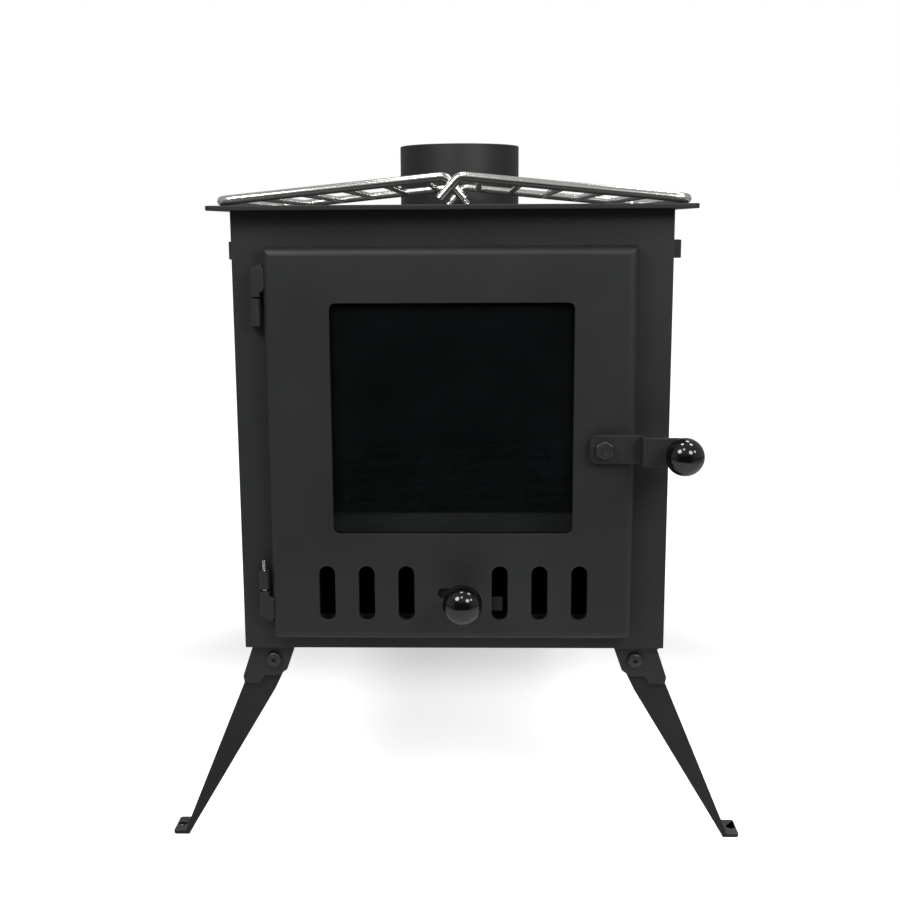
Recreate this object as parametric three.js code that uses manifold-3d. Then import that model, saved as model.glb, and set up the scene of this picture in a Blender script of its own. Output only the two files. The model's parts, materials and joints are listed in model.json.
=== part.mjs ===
// Tent wood stove: a sheet-steel firebox on four folding legs, with a glazed door, an air slide,
// a flue collar and two wire racks laid on the top plate.
// Millimetres, +Z up, the front faces -Y. The origin is on the ground under the middle of the
// outer box. Inside the functions, y = 0 is the front face of the firebox.

import * as THREE from 'three';
import { mergeVertices } from 'three/addons/utils/BufferGeometryUtils.js';
import Module from 'manifold-3d';

const wasm = await Module();
wasm.setup();

// ---------- Driving dimensions ----------

// Clearances
const gap = 0.3;                  // between pieces that nearly touch
const slip = 0.4;                 // around a shank in its hole
const runningGap = 1;             // between pieces that move past each other

// Firebox
const bodyWidth = 270;
const bodyDepth = 405;
const bodyHeight = 278;
const legHeight = 135;            // ground to the underside of the firebox
const wallSheet = 2;
const frontSheet = 2.5;

// Top plate and flue
const topSheet = 3;
const topSideOverhang = 13;
const topEndOverhang = 14;
const topCorner = 6;
const flueDiameter = 102.5;
const flueWall = 2;
const flueHeight = 54;
const flueFromBack = 68;          // flue axis to the back wall
const flueWeld = 2.5;

// Inside the firebox
const grateHeight = 58;           // floor to the grate's underside
const grateSheet = 3;
const grateFrontGap = 38;
const grateBackGap = 12;
const grateBars = 15;
const grateSlot = 7;
const railWidth = 14;
const railSheet = 2;
const guardSheet = 2;
const guardRise = 20.5;
const guardLip = 9;
const baffleDrop = 48;            // top plate to the baffle
const baffleSheet = 3;
const baffleFrontGap = 110;

// Door panel
const doorLeftMargin = 20.25;
const doorRightMargin = 22;
const doorTopMargin = 21.4;
const doorBottomMargin = 9.4;
const doorSheet = 2.5;
const doorDepth = 10;
const doorStandoff = 2;           // back edge of the door's rim to the firebox
const doorEdgeRadius = 6;
const doorCorner = 3;
const openingCorner = 6;
const doorLap = 13.1;             // door rim over the top and bottom edges of the opening
const doorSideLap = 11.5;         // door rim over the right edge of the opening
const ropeWidth = 6.5;
const ropeFlat = 0.5;             // flat between the rounded edges of the rope

// Window
const windowTopMargin = 34.1;
const windowCorner = 4;
const glassLap = 7;
const glassThickness = 4;
const gasketThickness = 1.5;
const retainerSheet = 1.5;
const retainerRim = 4;            // glass studs to the retainer's edge
const glassStudDiameter = 4;
const glassStudInset = 23.5;      // glass edge to a stud's axis
const glassNutWidth = 7;
const glassNutHeight = 3;

// Air slots and slide
const slotWidth = 10;
const slotHeight = 35.4;
const slotPitch = 25;
const slotInnerX = 29.4;
const slotsPerSide = 3;
const slideSheet = 1.5;
const slideHead = 8;              // band of the slide above its slots
const slideTravel = 12.5;
const slideEnd = 5;
const slideTabWidth = 7;
const slideTabHeight = 9;
const slideTabDrop = 25.3;        // bottom of the tab below the top of the slots
const guideDiameter = 3;
const guideHeadDiameter = 6;
const guideHeadHeight = 1.5;
const airStudDiameter = 5.5;
const airTipDiameter = 4;         // threaded end of the stud behind the slide
const knobSlotPlay = 0.6;
const airKnobDiameter = 24.5;
const airKnobReach = 23;          // door face to the knob's centre
const airNutWidth = 7;
const airNutHeight = 3;

// Latch
const latchBoltInset = 20;        // bolt axis to the door's right edge
const latchBoltHeight = 123.9;    // above the door's bottom edge
const latchBoltDiameter = 6;
const latchBarHeight = 17.5;
const latchBarSheet = 3;
const latchBarTail = 8.5;         // bolt axis to the bar's left end
const latchJoggleX = 21.8;        // bolt axis to the joggle
const latchJoggle = 10.5;
const latchBarCorner = 4.5;
const latchBarReach = 52.2;       // bolt axis to the bar's right end
const latchBallX = 45.3;          // bolt axis to the knob's axis
const latchKnobDiameter = 23;
const latchKnobNeck = 2.2;
const latchCollarDiameter = 9;
const latchWasherDiameter = 12.6;
const latchWindowGap = 5.2;       // washer's edge to the glass
const latchWasherThickness = 2;
const hexWidth = 10;
const hexHeight = 4;
const tongueReach = 32;
const tongueWidth = 12;
const tongueSheet = 3;

// Hinges
const hingeOffsetX = 5.2;         // hinge axis to the door's left edge
const hingeStandoff = 6;          // hinge axis to the firebox face
const knuckleDiameter = 7.2;
const pinDiameter = 3.6;
const pinTipDiameter = 2.4;
const pinTipHeight = 6.5;
const upperBracketHeight = 17.6;
const lowerBracketHeight = 13.3;
const upperEarHeight = 17.4;
const lowerEarHeight = 16.4;
const earSheet = 2.5;
const upperEarSlope = 2.5;
const lowerEarSlope = 4;
const earOverlap = 2;             // ear's front leaf past the hinge axis
const earNotchWidth = 2;
const earNotchHeight = 3.2;
const upperHingeDrop = 51.8;      // top of the firebox to the joint of the upper knuckles
const lowerHingeRise = 40.5;      // underside of the firebox to the joint of the lower knuckles

// Racks and their sockets
const wireDiameter = 6;
const barDiameter = 4.5;
const rackLength = 240;           // front wire to back wire, centre to centre
const rackReach = 145;            // middle of the stove to the outer bar
const rackPitch = 25.7;
const rackBars = 5;
const rackBendX = 4.5;            // the wires bend this far short of the middle
const rackBendRise = 17.3;        // centre of the wire above the top plate at the bend
const rackHook = 12.3;            // sideways run of the hook past the bend
const rackFront = 13;             // front wire of the right rack behind the firebox face
const rackShift = 7;              // left rack behind the right one
const rackCorner = 9;
const rackWeld = 2;               // middle of a frame wire to the end of a bar
const socketWall = 2;
const socketHeight = 11.5;
const socketFront = 42;           // front socket of the right rack behind the firebox face
const socketDrop = 19;
const socketSlack = 2;

// Legs
const legSheet = 2.5;
const legRootWidth = 18;
const legShoulder = 19;           // bolt axis to the widest place, along the leg
const legShoulderInner = 9.5;     // middle line to the inner edge there
const legShoulderOuter = 11;
const legFootWidth = 3.4;
const legBoltInset = 17.5;        // bolt axis to the side of the firebox
const legBoltDrop = 9.5;          // bolt axis below the firebox
const legFootX = 181.2;           // middle of the foot from the middle of the stove
const legSetback = 5;             // bracket face behind the firebox's front or back face
const legBoltDiameter = 6;
const legHeadDiameter = 10.5;
const legHeadHeight = 3.2;
const legNutHeight = 5;
const bracketSheet = 2.5;
const bracketOuter = 13.5;        // bolt axis to the bracket's outer top corner
const bracketInner = 14.2;
const bracketOuterDepth = 26.2;
const bracketInnerDepth = 20.9;
const bracketFlange = 2;
const tabDepth = 20.5;
const tabInner = 2;               // middle of the foot to the tab's inner edge
const tabOuter = 8.7;
const tabCorner = 2;
const tabHole = 5.2;
const tabHoleEdge = 3.6;          // tab's outer edge to the hole's axis
const tabHoleFront = 10.5;        // outer face of the leg to the hole's axis

// ---------- Derived places ----------

const bodyBottom = legHeight;
const bodyTop = bodyBottom + bodyHeight;
const plateTop = bodyTop + topSheet;
const halfBody = bodyWidth / 2;
const innerHalf = halfBody - wallSheet;
const flueY = bodyDepth - flueFromBack;
const floorTop = bodyBottom + wallSheet;
const grateZ = floorTop + grateHeight;
const grateFront = frontSheet + grateFrontGap;
const grateBack = bodyDepth - wallSheet - grateBackGap;
const baffleZ = bodyTop - baffleDrop;

const doorLeft = doorLeftMargin - halfBody;
const doorRight = halfBody - doorRightMargin;
const doorBottom = bodyBottom + doorBottomMargin;
const doorTop = bodyTop - doorTopMargin;
const doorFront = -doorStandoff - doorDepth;
const panelBack = doorFront + doorSheet;
const halfOpening = doorRight - doorSideLap;
const openingBottom = doorBottom + doorLap;
const openingTop = doorTop - doorLap;

const slotBottom = openingBottom;
const slotTop = slotBottom + slotHeight;
const slotMidZ = (slotBottom + slotTop) / 2;
const slideTop = slotTop + slideHead;
const slideBottom = doorBottom + doorSheet + gap + ropeWidth + gap;
const slideFront = panelBack + gap;
const slideBack = slideFront + slideSheet;
const guideZ = slotTop + slideHead / 2;

const latchX = doorRight - latchBoltInset;
const latchZ = doorBottom + latchBoltHeight;
const glassHalf = latchX - latchWasherDiameter / 2 - latchWindowGap;
const windowHalf = glassHalf - glassLap;
const windowTop = doorTop - windowTopMargin;
const glassTop = windowTop + glassLap;
const glassStudX = glassHalf - glassStudInset;
const glassStudGap = glassStudDiameter / 2 + 1.5;
const glassBottom = slideTop + gap + glassStudDiameter / 2 + gap + glassStudGap;
const windowBottom = glassBottom + glassLap;
const glassFront = panelBack + gasketThickness;
const glassBack = glassFront + glassThickness;
const retainerBack = glassBack + retainerSheet;
const glassStudHigh = glassTop + glassStudGap;
const glassStudLow = glassBottom - glassStudGap;

const hingeX = doorLeft - hingeOffsetX;
const hingeY = -hingeStandoff;
const upperJointZ = bodyTop - upperHingeDrop;
const lowerJointZ = bodyBottom + lowerHingeRise;
const knuckleRadius = knuckleDiameter / 2;

const barBack = doorFront - latchWasherThickness;
const barFront = barBack - latchBarSheet;
const proudBack = barFront - latchJoggle + latchBarSheet;
const proudFront = proudBack - latchBarSheet;
const latchKnobY = proudFront - latchKnobNeck - latchKnobDiameter / 2;
const tongueFront = frontSheet + runningGap + gap;
const tongueBack = tongueFront + tongueSheet;

const airKnobY = doorFront - airKnobReach;
const slideRestX = slideTravel / 2;

const legBoltX = halfBody - legBoltInset;
const legBoltZ = bodyBottom - legBoltDrop;
const legLean = Math.atan2(legFootX - legBoltX, legBoltZ);
const legRootRadius = legRootWidth / 2;
const shoulderX = legShoulder * Math.sin(legLean) + legShoulderOuter * Math.cos(legLean);
const shoulderZ = -legShoulder * Math.cos(legLean) + legShoulderOuter * Math.sin(legLean);

const frontReach = latchKnobY - latchKnobDiameter / 2;
const backReach = bodyDepth + topEndOverhang;
const originY = (frontReach + backReach) / 2;

// ---------- Materials ----------

const finish = (color, roughness, metalness) => ({ color, roughness, metalness });
const stovePaint = finish(0x2b2d2d, 0.62, 0.3);
const innerSteel = finish(0x232322, 0.8, 0.4);
const stainless = finish(0xc4c4c0, 0.25, 1);
const fastenerSteel = finish(0x3a3b3b, 0.45, 0.8);
const blackBall = finish(0x050505, 0.08, 0);
const ceramicGlass = finish(0x0b0c0d, 0.05, 0);
const glassFibre = finish(0x4b4842, 0.95, 0);

// ---------- Shape helpers ----------

/** A box between two opposite corners. */
function block(x0, x1, y0, y1, z0, z1) {
  const box = new THREE.BoxGeometry(x1 - x0, y1 - y0, z1 - z0);
  return box.translate((x0 + x1) / 2, (y0 + y1) / 2, (z0 + z1) / 2);
}

/** An outline drawn in x and z, thickened along y from y0. */
function sheetXZ(shape, y0, thickness, curveSegments = 6) {
  const sheet = new THREE.ExtrudeGeometry(shape, { depth: thickness, bevelEnabled: false, curveSegments });
  return sheet.rotateX(Math.PI / 2).translate(0, y0 + thickness, 0);
}

/** An outline drawn in x and y, thickened along z from z0. */
function sheetXY(shape, z0, thickness, curveSegments = 6) {
  const sheet = new THREE.ExtrudeGeometry(shape, { depth: thickness, bevelEnabled: false, curveSegments });
  return sheet.translate(0, 0, z0);
}

/** A closed outline through corner points. */
function outline(points) {
  return new THREE.Shape(points.map(([u, v]) => new THREE.Vector2(u, v)));
}

/** A rectangle with rounded corners, as a shape or as a hole. */
function roundedRectangle(u0, u1, v0, v1, radius, Kind = THREE.Shape) {
  const path = new Kind();
  path.moveTo(u0 + radius, v0);
  path.lineTo(u1 - radius, v0);
  path.absarc(u1 - radius, v0 + radius, radius, -Math.PI / 2, 0);
  path.lineTo(u1, v1 - radius);
  path.absarc(u1 - radius, v1 - radius, radius, 0, Math.PI / 2);
  path.lineTo(u0 + radius, v1);
  path.absarc(u0 + radius, v1 - radius, radius, Math.PI / 2, Math.PI);
  path.lineTo(u0, v0 + radius);
  path.absarc(u0 + radius, v0 + radius, radius, Math.PI, Math.PI * 1.5);
  return path;
}

/** A round disc or hole outline. */
function circle(u, v, radius, Kind = THREE.Shape) {
  const path = new Kind();
  path.absarc(u, v, radius, 0, Math.PI * 2);
  return path;
}

/** A straight round rod along y. */
function rodY(x, z, diameter, y0, y1, sides = 16) {
  const rod = new THREE.CylinderGeometry(diameter / 2, diameter / 2, y1 - y0, sides);
  return rod.translate(x, (y0 + y1) / 2, z);
}

/** A straight round rod along z. */
function rodZ(x, y, diameter, z0, z1, sides = 16) {
  const rod = new THREE.CylinderGeometry(diameter / 2, diameter / 2, z1 - z0, sides);
  return rod.rotateX(Math.PI / 2).translate(x, y, (z0 + z1) / 2);
}

/** A hexagonal prism along y with a corner upwards. */
function hexY(x, z, acrossFlats, y0, y1) {
  return rodY(x, z, acrossFlats / Math.cos(Math.PI / 6), y0, y1, 6);
}

/** A ball turned about y, with a flat towards +y that closes on the axis. */
function ballY(x, y, z, diameter, flat) {
  const radius = diameter / 2;
  const start = Math.asin(flat / diameter);
  const steps = 11;
  const profile = [new THREE.Vector2(0, radius * Math.cos(start))];
  for (let i = 0; i <= steps; i += 1) {
    const angle = start + (Math.PI - start) * i / steps;
    profile.push(new THREE.Vector2(i === steps ? 0 : radius * Math.sin(angle), radius * Math.cos(angle)));
  }
  return new THREE.LatheGeometry(profile.reverse(), 20).translate(x, y, z);
}

/** A closed geometry as a solid that can be cut and joined. */
function toSolid(geometry) {
  const bare = geometry.clone();
  bare.deleteAttribute('normal');
  bare.deleteAttribute('uv');
  const merged = mergeVertices(bare, 1e-4);
  return new wasm.Manifold(new wasm.Mesh({
    numProp: 3,
    vertProperties: new Float32Array(merged.attributes.position.array),
    triVerts: new Uint32Array(merged.index.array),
  }));
}

/** A cut or joined solid as a geometry again. */
function toGeometry(solid) {
  const mesh = solid.getMesh();
  const geometry = new THREE.BufferGeometry();
  geometry.setAttribute('position', new THREE.BufferAttribute(mesh.vertProperties, 3));
  geometry.setIndex(new THREE.BufferAttribute(mesh.triVerts, 1));
  geometry.computeVertexNormals();
  return geometry;
}

function cut(base, ...tools) {
  return toGeometry(tools.reduce((solid, tool) => solid.subtract(toSolid(tool)), toSolid(base)));
}

function join(first, ...others) {
  return toGeometry(others.reduce((solid, other) => solid.add(toSolid(other)), toSolid(first)));
}

function common(first, second) {
  return toGeometry(toSolid(first).intersect(toSolid(second)));
}

/** A wire's centre line, given station by station. */
class WirePath extends THREE.Curve {
  constructor(stations) {
    super();
    this.stations = stations;
  }

  getPointAt(u) {
    return this.stations[Math.round(u * (this.stations.length - 1))].clone();
  }

  getTangentAt(u) {
    const last = this.stations.length - 1;
    const i = Math.round(u * last);
    const here = this.stations[i];
    const before = here.clone().sub(this.stations[Math.max(i - 1, 0)]).normalize();
    const after = this.stations[Math.min(i + 1, last)].clone().sub(here).normalize();
    return before.add(after).normalize();
  }
}

/** Stations along straight runs between corners, with each corner rounded. */
function bentStations(corners, radii) {
  const stations = [corners[0]];
  for (let i = 1; i < corners.length - 1; i += 1) {
    const radius = radii[i - 1];
    const back = corners[i - 1].clone().sub(corners[i]).setLength(radius).add(corners[i]);
    const ahead = corners[i + 1].clone().sub(corners[i]).setLength(radius).add(corners[i]);
    stations.push(...new THREE.QuadraticBezierCurve3(back, corners[i], ahead).getPoints(4));
  }
  stations.push(corners[corners.length - 1]);
  return stations;
}

/** A round wire along stations. */
function wire(stations, diameter) {
  return new THREE.ExtrudeGeometry(circle(0, 0, diameter / 2), {
    steps: stations.length - 1,
    extrudePath: new WirePath(stations),
    curveSegments: 4,
  });
}

// ---------- Assembly ----------

const stove = new THREE.Group();
stove.position.y = -originY;

/** Adds one named piece with its own material. */
function piece(name, geometry, look) {
  const mesh = new THREE.Mesh(geometry, new THREE.MeshStandardMaterial(look));
  mesh.name = name;
  stove.add(mesh);
}

// ---------- Firebox ----------

function frontFrame() {
  const face = outline([
    [-halfBody, bodyBottom], [halfBody, bodyBottom], [halfBody, bodyTop], [-halfBody, bodyTop],
  ]);
  face.holes.push(roundedRectangle(
    -halfOpening, halfOpening, openingBottom, openingTop, openingCorner, THREE.Path,
  ));
  return sheetXZ(face, 0, frontSheet, 3);
}

function topPlate() {
  const edge = halfBody + topSideOverhang;
  const plate = roundedRectangle(-edge, edge, -topEndOverhang, backReach, topCorner);
  plate.holes.push(circle(0, flueY, flueDiameter / 2 - flueWall, THREE.Path));
  return sheetXY(plate, bodyTop, topSheet, 24);
}

function flueCollar() {
  const outer = flueDiameter / 2;
  const inner = outer - flueWall;
  const top = plateTop + flueHeight;
  const profile = [
    [inner, plateTop],
    [outer + flueWeld, plateTop],
    [outer, plateTop + flueWeld],
    [outer, top],
    [inner, top],
    [inner, plateTop],
  ];
  const ring = new THREE.LatheGeometry(profile.map(([r, z]) => new THREE.Vector2(r, z)), 48);
  return ring.rotateX(Math.PI / 2).translate(0, flueY, 0);
}

function buildFirebox() {
  const rear = bodyDepth - wallSheet;
  const wall = (x0, x1) => block(x0, x1, frontSheet, rear, bodyBottom, bodyTop);
  piece('front_frame', frontFrame(), stovePaint);
  piece('side_wall_left', wall(-halfBody, -innerHalf), stovePaint);
  piece('side_wall_right', wall(innerHalf, halfBody), stovePaint);
  piece('back_wall', block(-halfBody, halfBody, rear, bodyDepth, bodyBottom, bodyTop), stovePaint);
  piece('firebox_floor', block(-innerHalf, innerHalf, frontSheet, rear, bodyBottom, floorTop), stovePaint);
  piece('top_plate', topPlate(), stovePaint);
  piece('flue_collar', flueCollar(), stovePaint);
}

// ---------- Inside ----------

/** A ledge round the sides and the back of the firebox, with a lip turned down. */
function grateLedge() {
  const back = bodyDepth - wallSheet;
  const ledge = (width) => outline([
    [-innerHalf, grateFront], [-innerHalf, back], [innerHalf, back], [innerHalf, grateFront],
    [innerHalf - width, grateFront], [innerHalf - width, back - width], [-innerHalf + width, back - width],
    [-innerHalf + width, grateFront],
  ]);
  const drop = grateZ - railWidth;
  return join(
    sheetXY(ledge(railWidth), grateZ - railSheet, railSheet),
    sheetXY(ledge(railSheet), drop, railWidth),
  );
}

function fireGrate() {
  const half = innerHalf - runningGap;
  const top = grateZ + grateSheet;
  const rim = railWidth + 4;
  const pitch = (2 * (half - rim) - grateSlot) / (grateBars - 1);
  const slots = [];
  for (let i = 0; i < grateBars; i += 1) {
    const left = -half + rim + i * pitch;
    slots.push(block(left, left + grateSlot, grateFront + rim, grateBack - rim, grateZ - 1, top + 1));
  }
  return cut(block(-half, half, grateFront, grateBack, grateZ, top), ...slots);
}

/** An upright strip in front of the grate with its top edge folded back. */
function logGuard() {
  const front = grateFront - runningGap - guardLip;
  const back = front + guardSheet;
  const top = grateZ + guardRise;
  const strip = block(-innerHalf, innerHalf, front, back, grateZ - railWidth, top);
  const lip = block(-innerHalf, innerHalf, front, front + guardLip, top - guardSheet, top);
  return join(strip, lip);
}

/** The smoke baffle: a flat plate with its sides folded down along the walls. */
function bafflePlate() {
  const front = frontSheet + baffleFrontGap;
  const back = bodyDepth - wallSheet;
  const top = baffleZ + baffleSheet;
  const low = top - railWidth;
  return join(
    block(-innerHalf, innerHalf, front, back, baffleZ, top),
    block(-innerHalf, -innerHalf + baffleSheet, front, back, low, top),
    block(innerHalf - baffleSheet, innerHalf, front, back, low, top),
  );
}

function buildInside() {
  piece('grate_ledge', grateLedge(), innerSteel);
  piece('fire_grate', fireGrate(), innerSteel);
  piece('log_guard', logGuard(), innerSteel);
  piece('baffle_plate', bafflePlate(), innerSteel);
}

// ---------- Door ----------

/** A closed profile from u0 to u1 whose two front corners are rounded, with v towards the back. */
function panProfile(u0, u1, front, back, edge, place) {
  const half = (u1 - u0) / 2;
  const points = [];
  for (let i = 0; i <= 3; i += 1) {
    const angle = Math.PI / 2 * i / 3;
    points.push([half - edge + edge * Math.cos(angle), front + edge - edge * Math.sin(angle)]);
  }
  const mirrored = points.map(([u, v]) => [-u, v]).reverse();
  const corners = [[half, back], ...points, ...mirrored, [-half, back]];
  return outline(corners.map(([u, v]) => place((u0 + u1) / 2 + u, v)));
}

/** The pan of the door, shrunk by an inset and open towards +y; its rounded front edges meet in mitres. */
function pan(inset, front, back) {
  const edge = doorEdgeRadius - inset;
  const corner = Math.max(doorCorner - inset, gap);
  const left = doorLeft + inset;
  const right = doorRight - inset;
  const low = doorBottom + inset;
  const high = doorTop - inset;
  const upright = sheetXY(panProfile(left, right, front, back, edge, (x, y) => [x, y]), low, high - low);
  const level = new THREE.ExtrudeGeometry(
    panProfile(low, high, front, back, edge, (z, y) => [y, z]), { depth: right - left, bevelEnabled: false },
  );
  level.rotateX(Math.PI / 2).rotateZ(Math.PI / 2).translate(left, 0, 0);
  const face = sheetXZ(roundedRectangle(left, right, low, high, corner), front, back - front, 3);
  return common(common(upright, level), face);
}

/** Every middle line of an air slot. */
function slotCentres() {
  const centres = [];
  for (let i = 0; i < slotsPerSide; i += 1) {
    centres.push(slotInnerX + i * slotPitch, -slotInnerX - i * slotPitch);
  }
  return centres;
}

function slotOutline(x, Kind = THREE.Shape) {
  const half = slotWidth / 2;
  return roundedRectangle(x - half, x + half, slotBottom, slotTop, half - 0.01, Kind);
}

/** Studs welded to the back of the panel that carry the glass retainer. */
function glassStuds() {
  const end = retainerBack + glassNutHeight + 1;
  return glassStudPlaces().map(([x, z]) => rodY(x, z, glassStudDiameter, panelBack - 1, end, 12));
}

/** Headed pins on the back of the panel that guide the air slide. */
function guidePins() {
  const headFront = slideBack + gap;
  const headBack = headFront + guideHeadHeight;
  return guidePlaces().flatMap((x) => [
    rodY(x, guideZ, guideDiameter, panelBack - 1, headBack - 0.5, 12),
    rodY(x, guideZ, guideHeadDiameter, headFront, headBack),
  ]);
}

function doorPanel() {
  const outer = pan(0, doorFront, -doorStandoff);
  const inner = pan(doorSheet, panelBack, -doorStandoff + 1);
  const through = (shape) => sheetXZ(shape, doorFront - 1, doorSheet + 2, 6);
  const knobSlotHigh = airStudDiameter / 2 + knobSlotPlay;
  const knobSlotHalf = slideTravel / 2 + knobSlotHigh;
  const knobSlot = roundedRectangle(
    -knobSlotHalf, knobSlotHalf, slotMidZ - knobSlotHigh, slotMidZ + knobSlotHigh, knobSlotHigh - 0.01,
  );
  const holes = [
    through(roundedRectangle(-windowHalf, windowHalf, windowBottom, windowTop, windowCorner)),
    through(knobSlot),
    through(circle(latchX, latchZ, latchBoltDiameter / 2 + slip)),
    ...slotCentres().map((x) => through(slotOutline(x))),
  ];
  return join(cut(outer, inner, ...holes), ...glassStuds(), ...guidePins());
}

/** A rounded frame between an outer and an inner rectangle. */
function frame(outer, hole, y0, thickness) {
  outer.holes.push(hole);
  return sheetXZ(outer, y0, thickness, 3);
}

function glassGasket() {
  const outer = roundedRectangle(-glassHalf, glassHalf, glassBottom, glassTop, windowCorner);
  const hole = roundedRectangle(
    -windowHalf - 1, windowHalf + 1, windowBottom - 1, windowTop + 1, windowCorner, THREE.Path,
  );
  return frame(outer, hole, panelBack, gasketThickness);
}

function glassPane() {
  const pane = outline([
    [-glassHalf, glassBottom], [glassHalf, glassBottom], [glassHalf, glassTop], [-glassHalf, glassTop],
  ]);
  return sheetXZ(pane, glassFront, glassThickness);
}

/** The four studs that clamp the glass, as x and z. */
function glassStudPlaces() {
  return [
    [-glassStudX, glassStudLow], [glassStudX, glassStudLow],
    [-glassStudX, glassStudHigh], [glassStudX, glassStudHigh],
  ];
}

function glassRetainer() {
  const half = glassHalf + gap;
  const low = glassStudLow - retainerRim;
  const high = glassStudHigh + retainerRim;
  const outer = roundedRectangle(-half, half, low, high, windowCorner);
  outer.holes.push(roundedRectangle(
    -windowHalf - 1, windowHalf + 1, windowBottom - 1, windowTop + 1, windowCorner, THREE.Path,
  ));
  glassStudPlaces().forEach(([x, z]) => {
    outer.holes.push(circle(x, z, glassStudDiameter / 2 + slip, THREE.Path));
  });
  return sheetXZ(outer, glassBack, retainerSheet, 4);
}

/** A nut along y on a shank. */
function nut(x, z, acrossFlats, bore, y0, y1) {
  return cut(hexY(x, z, acrossFlats, y0, y1), rodY(x, z, bore, y0 - 1, y1 + 1, 12));
}

function ropeSeal() {
  const loop = (inset, Kind) => roundedRectangle(
    doorLeft + inset, doorRight - inset, doorBottom + inset, doorTop - inset, openingCorner, Kind,
  );
  const start = doorSheet + gap;
  const outer = loop(start);
  outer.holes.push(loop(start + ropeWidth, THREE.Path));
  const soft = Math.min(doorEdgeRadius - doorSheet, (ropeWidth - ropeFlat) / 2);
  const rope = new THREE.ExtrudeGeometry(outer, {
    depth: -gap - panelBack - gap - 2 * soft,
    bevelThickness: soft,
    bevelSize: soft,
    bevelOffset: -soft,
    bevelSegments: 2,
    curveSegments: 3,
  });
  return rope.rotateX(Math.PI / 2).translate(0, -gap - soft, 0);
}

function buildDoor() {
  piece('door_panel', doorPanel(), stovePaint);
  piece('glass_gasket', glassGasket(), glassFibre);
  piece('door_glass', glassPane(), ceramicGlass);
  piece('glass_retainer', glassRetainer(), innerSteel);
  const bore = glassStudDiameter + 2 * gap;
  const names = ['low_left', 'low_right', 'high_left', 'high_right'];
  glassStudPlaces().forEach(([x, z], i) => {
    const hex = nut(x, z, glassNutWidth, bore, retainerBack, retainerBack + glassNutHeight);
    piece(`glass_nut_${names[i]}`, hex, fastenerSteel);
  });
  piece('door_rope_seal', ropeSeal(), glassFibre);
}

// ---------- Air slide ----------

/** Guide studs stand midway between the two outer slots on each side. */
function guidePlaces() {
  const x = slotInnerX + slotPitch * (slotsPerSide - 1.5);
  return [-x, x];
}

/** The slide sits at its open end: its slots line up with the door's. */
function airSlide() {
  const endX = slotInnerX + slotPitch * (slotsPerSide - 1) + slotWidth / 2 + slideEnd;
  const plate = roundedRectangle(-endX, endX, slideBottom, slideTop, openingCorner);
  slotCentres().forEach((x) => plate.holes.push(slotOutline(x, THREE.Path)));
  const high = guideDiameter / 2 + slip;
  guidePlaces().forEach((x) => {
    plate.holes.push(roundedRectangle(
      x - high, x + slideTravel + high, guideZ - high, guideZ + high, high - 0.01, THREE.Path,
    ));
  });
  plate.holes.push(circle(slideRestX, slotMidZ, airTipDiameter / 2 + gap, THREE.Path));
  const sheet = sheetXZ(plate, slideFront, slideSheet, 4);
  const tabLeft = slotInnerX - slotWidth / 2 - 0.5;
  const tabBottom = slotTop - slideTabDrop - slideTabHeight / 2;
  const tab = block(
    tabLeft, tabLeft + slideTabWidth + 0.5, slideFront, slideBack, tabBottom, tabBottom + slideTabHeight,
  );
  return join(sheet, tab);
}

function buildAirSlide() {
  piece('air_slide', airSlide(), innerSteel);
  const nutBack = slideBack + airNutHeight;
  piece('air_knob_stud', join(
    rodY(slideRestX, slotMidZ, airStudDiameter, airKnobY, slideFront),
    rodY(slideRestX, slotMidZ, airTipDiameter, airKnobY + 1, nutBack + 1),
  ), fastenerSteel);
  piece('air_ball_knob', cut(
    ballY(slideRestX, airKnobY, slotMidZ, airKnobDiameter, airStudDiameter + 3),
    rodY(slideRestX, slotMidZ, airStudDiameter + 2 * gap, airKnobY - gap, doorFront),
  ), blackBall);
  piece('air_stud_nut', nut(
    slideRestX, slotMidZ, airNutWidth, airTipDiameter + 2 * gap, slideBack, nutBack,
  ), fastenerSteel);
}

// ---------- Latch ----------

/** The flat latch bar: a pivot end on the door and a proud end, joined by a joggle. */
function latchBar() {
  const half = latchBarHeight / 2;
  const left = latchX - latchBarTail;
  const joggle = latchX + latchJoggleX;
  const joggleEnd = joggle + latchBarSheet;
  const low = latchZ - half;
  const high = latchZ + half;
  const inner = new THREE.Shape();
  inner.moveTo(joggleEnd, low);
  inner.lineTo(joggleEnd, high);
  inner.absarc(left + latchBarCorner, high - latchBarCorner, latchBarCorner, Math.PI / 2, Math.PI);
  inner.absarc(left + latchBarCorner, low + latchBarCorner, latchBarCorner, Math.PI, Math.PI * 1.5);
  const endX = latchX + latchBarReach - half;
  const proud = new THREE.Shape();
  proud.moveTo(joggle, low);
  proud.lineTo(endX, low);
  proud.absarc(endX, latchZ, half, -Math.PI / 2, Math.PI / 2);
  proud.lineTo(joggle, high);
  const bar = join(
    sheetXZ(inner, barFront, latchBarSheet),
    block(joggle, joggleEnd, proudFront, barBack, low, high),
    sheetXZ(proud, proudFront, latchBarSheet, 8),
  );
  const bore = latchBoltDiameter + 2 * gap;
  return cut(
    bar,
    rodY(latchX, latchZ, bore, barFront - 1, barBack + 1),
    rodY(latchX + latchBallX, latchZ, bore, proudFront - 1, proudBack + 1),
  );
}

function ring(diameter, y0, y1) {
  return cut(
    rodY(latchX, latchZ, diameter, y0, y1, 20),
    rodY(latchX, latchZ, latchBoltDiameter + 2 * gap, y0 - 1, y1 + 1),
  );
}

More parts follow.
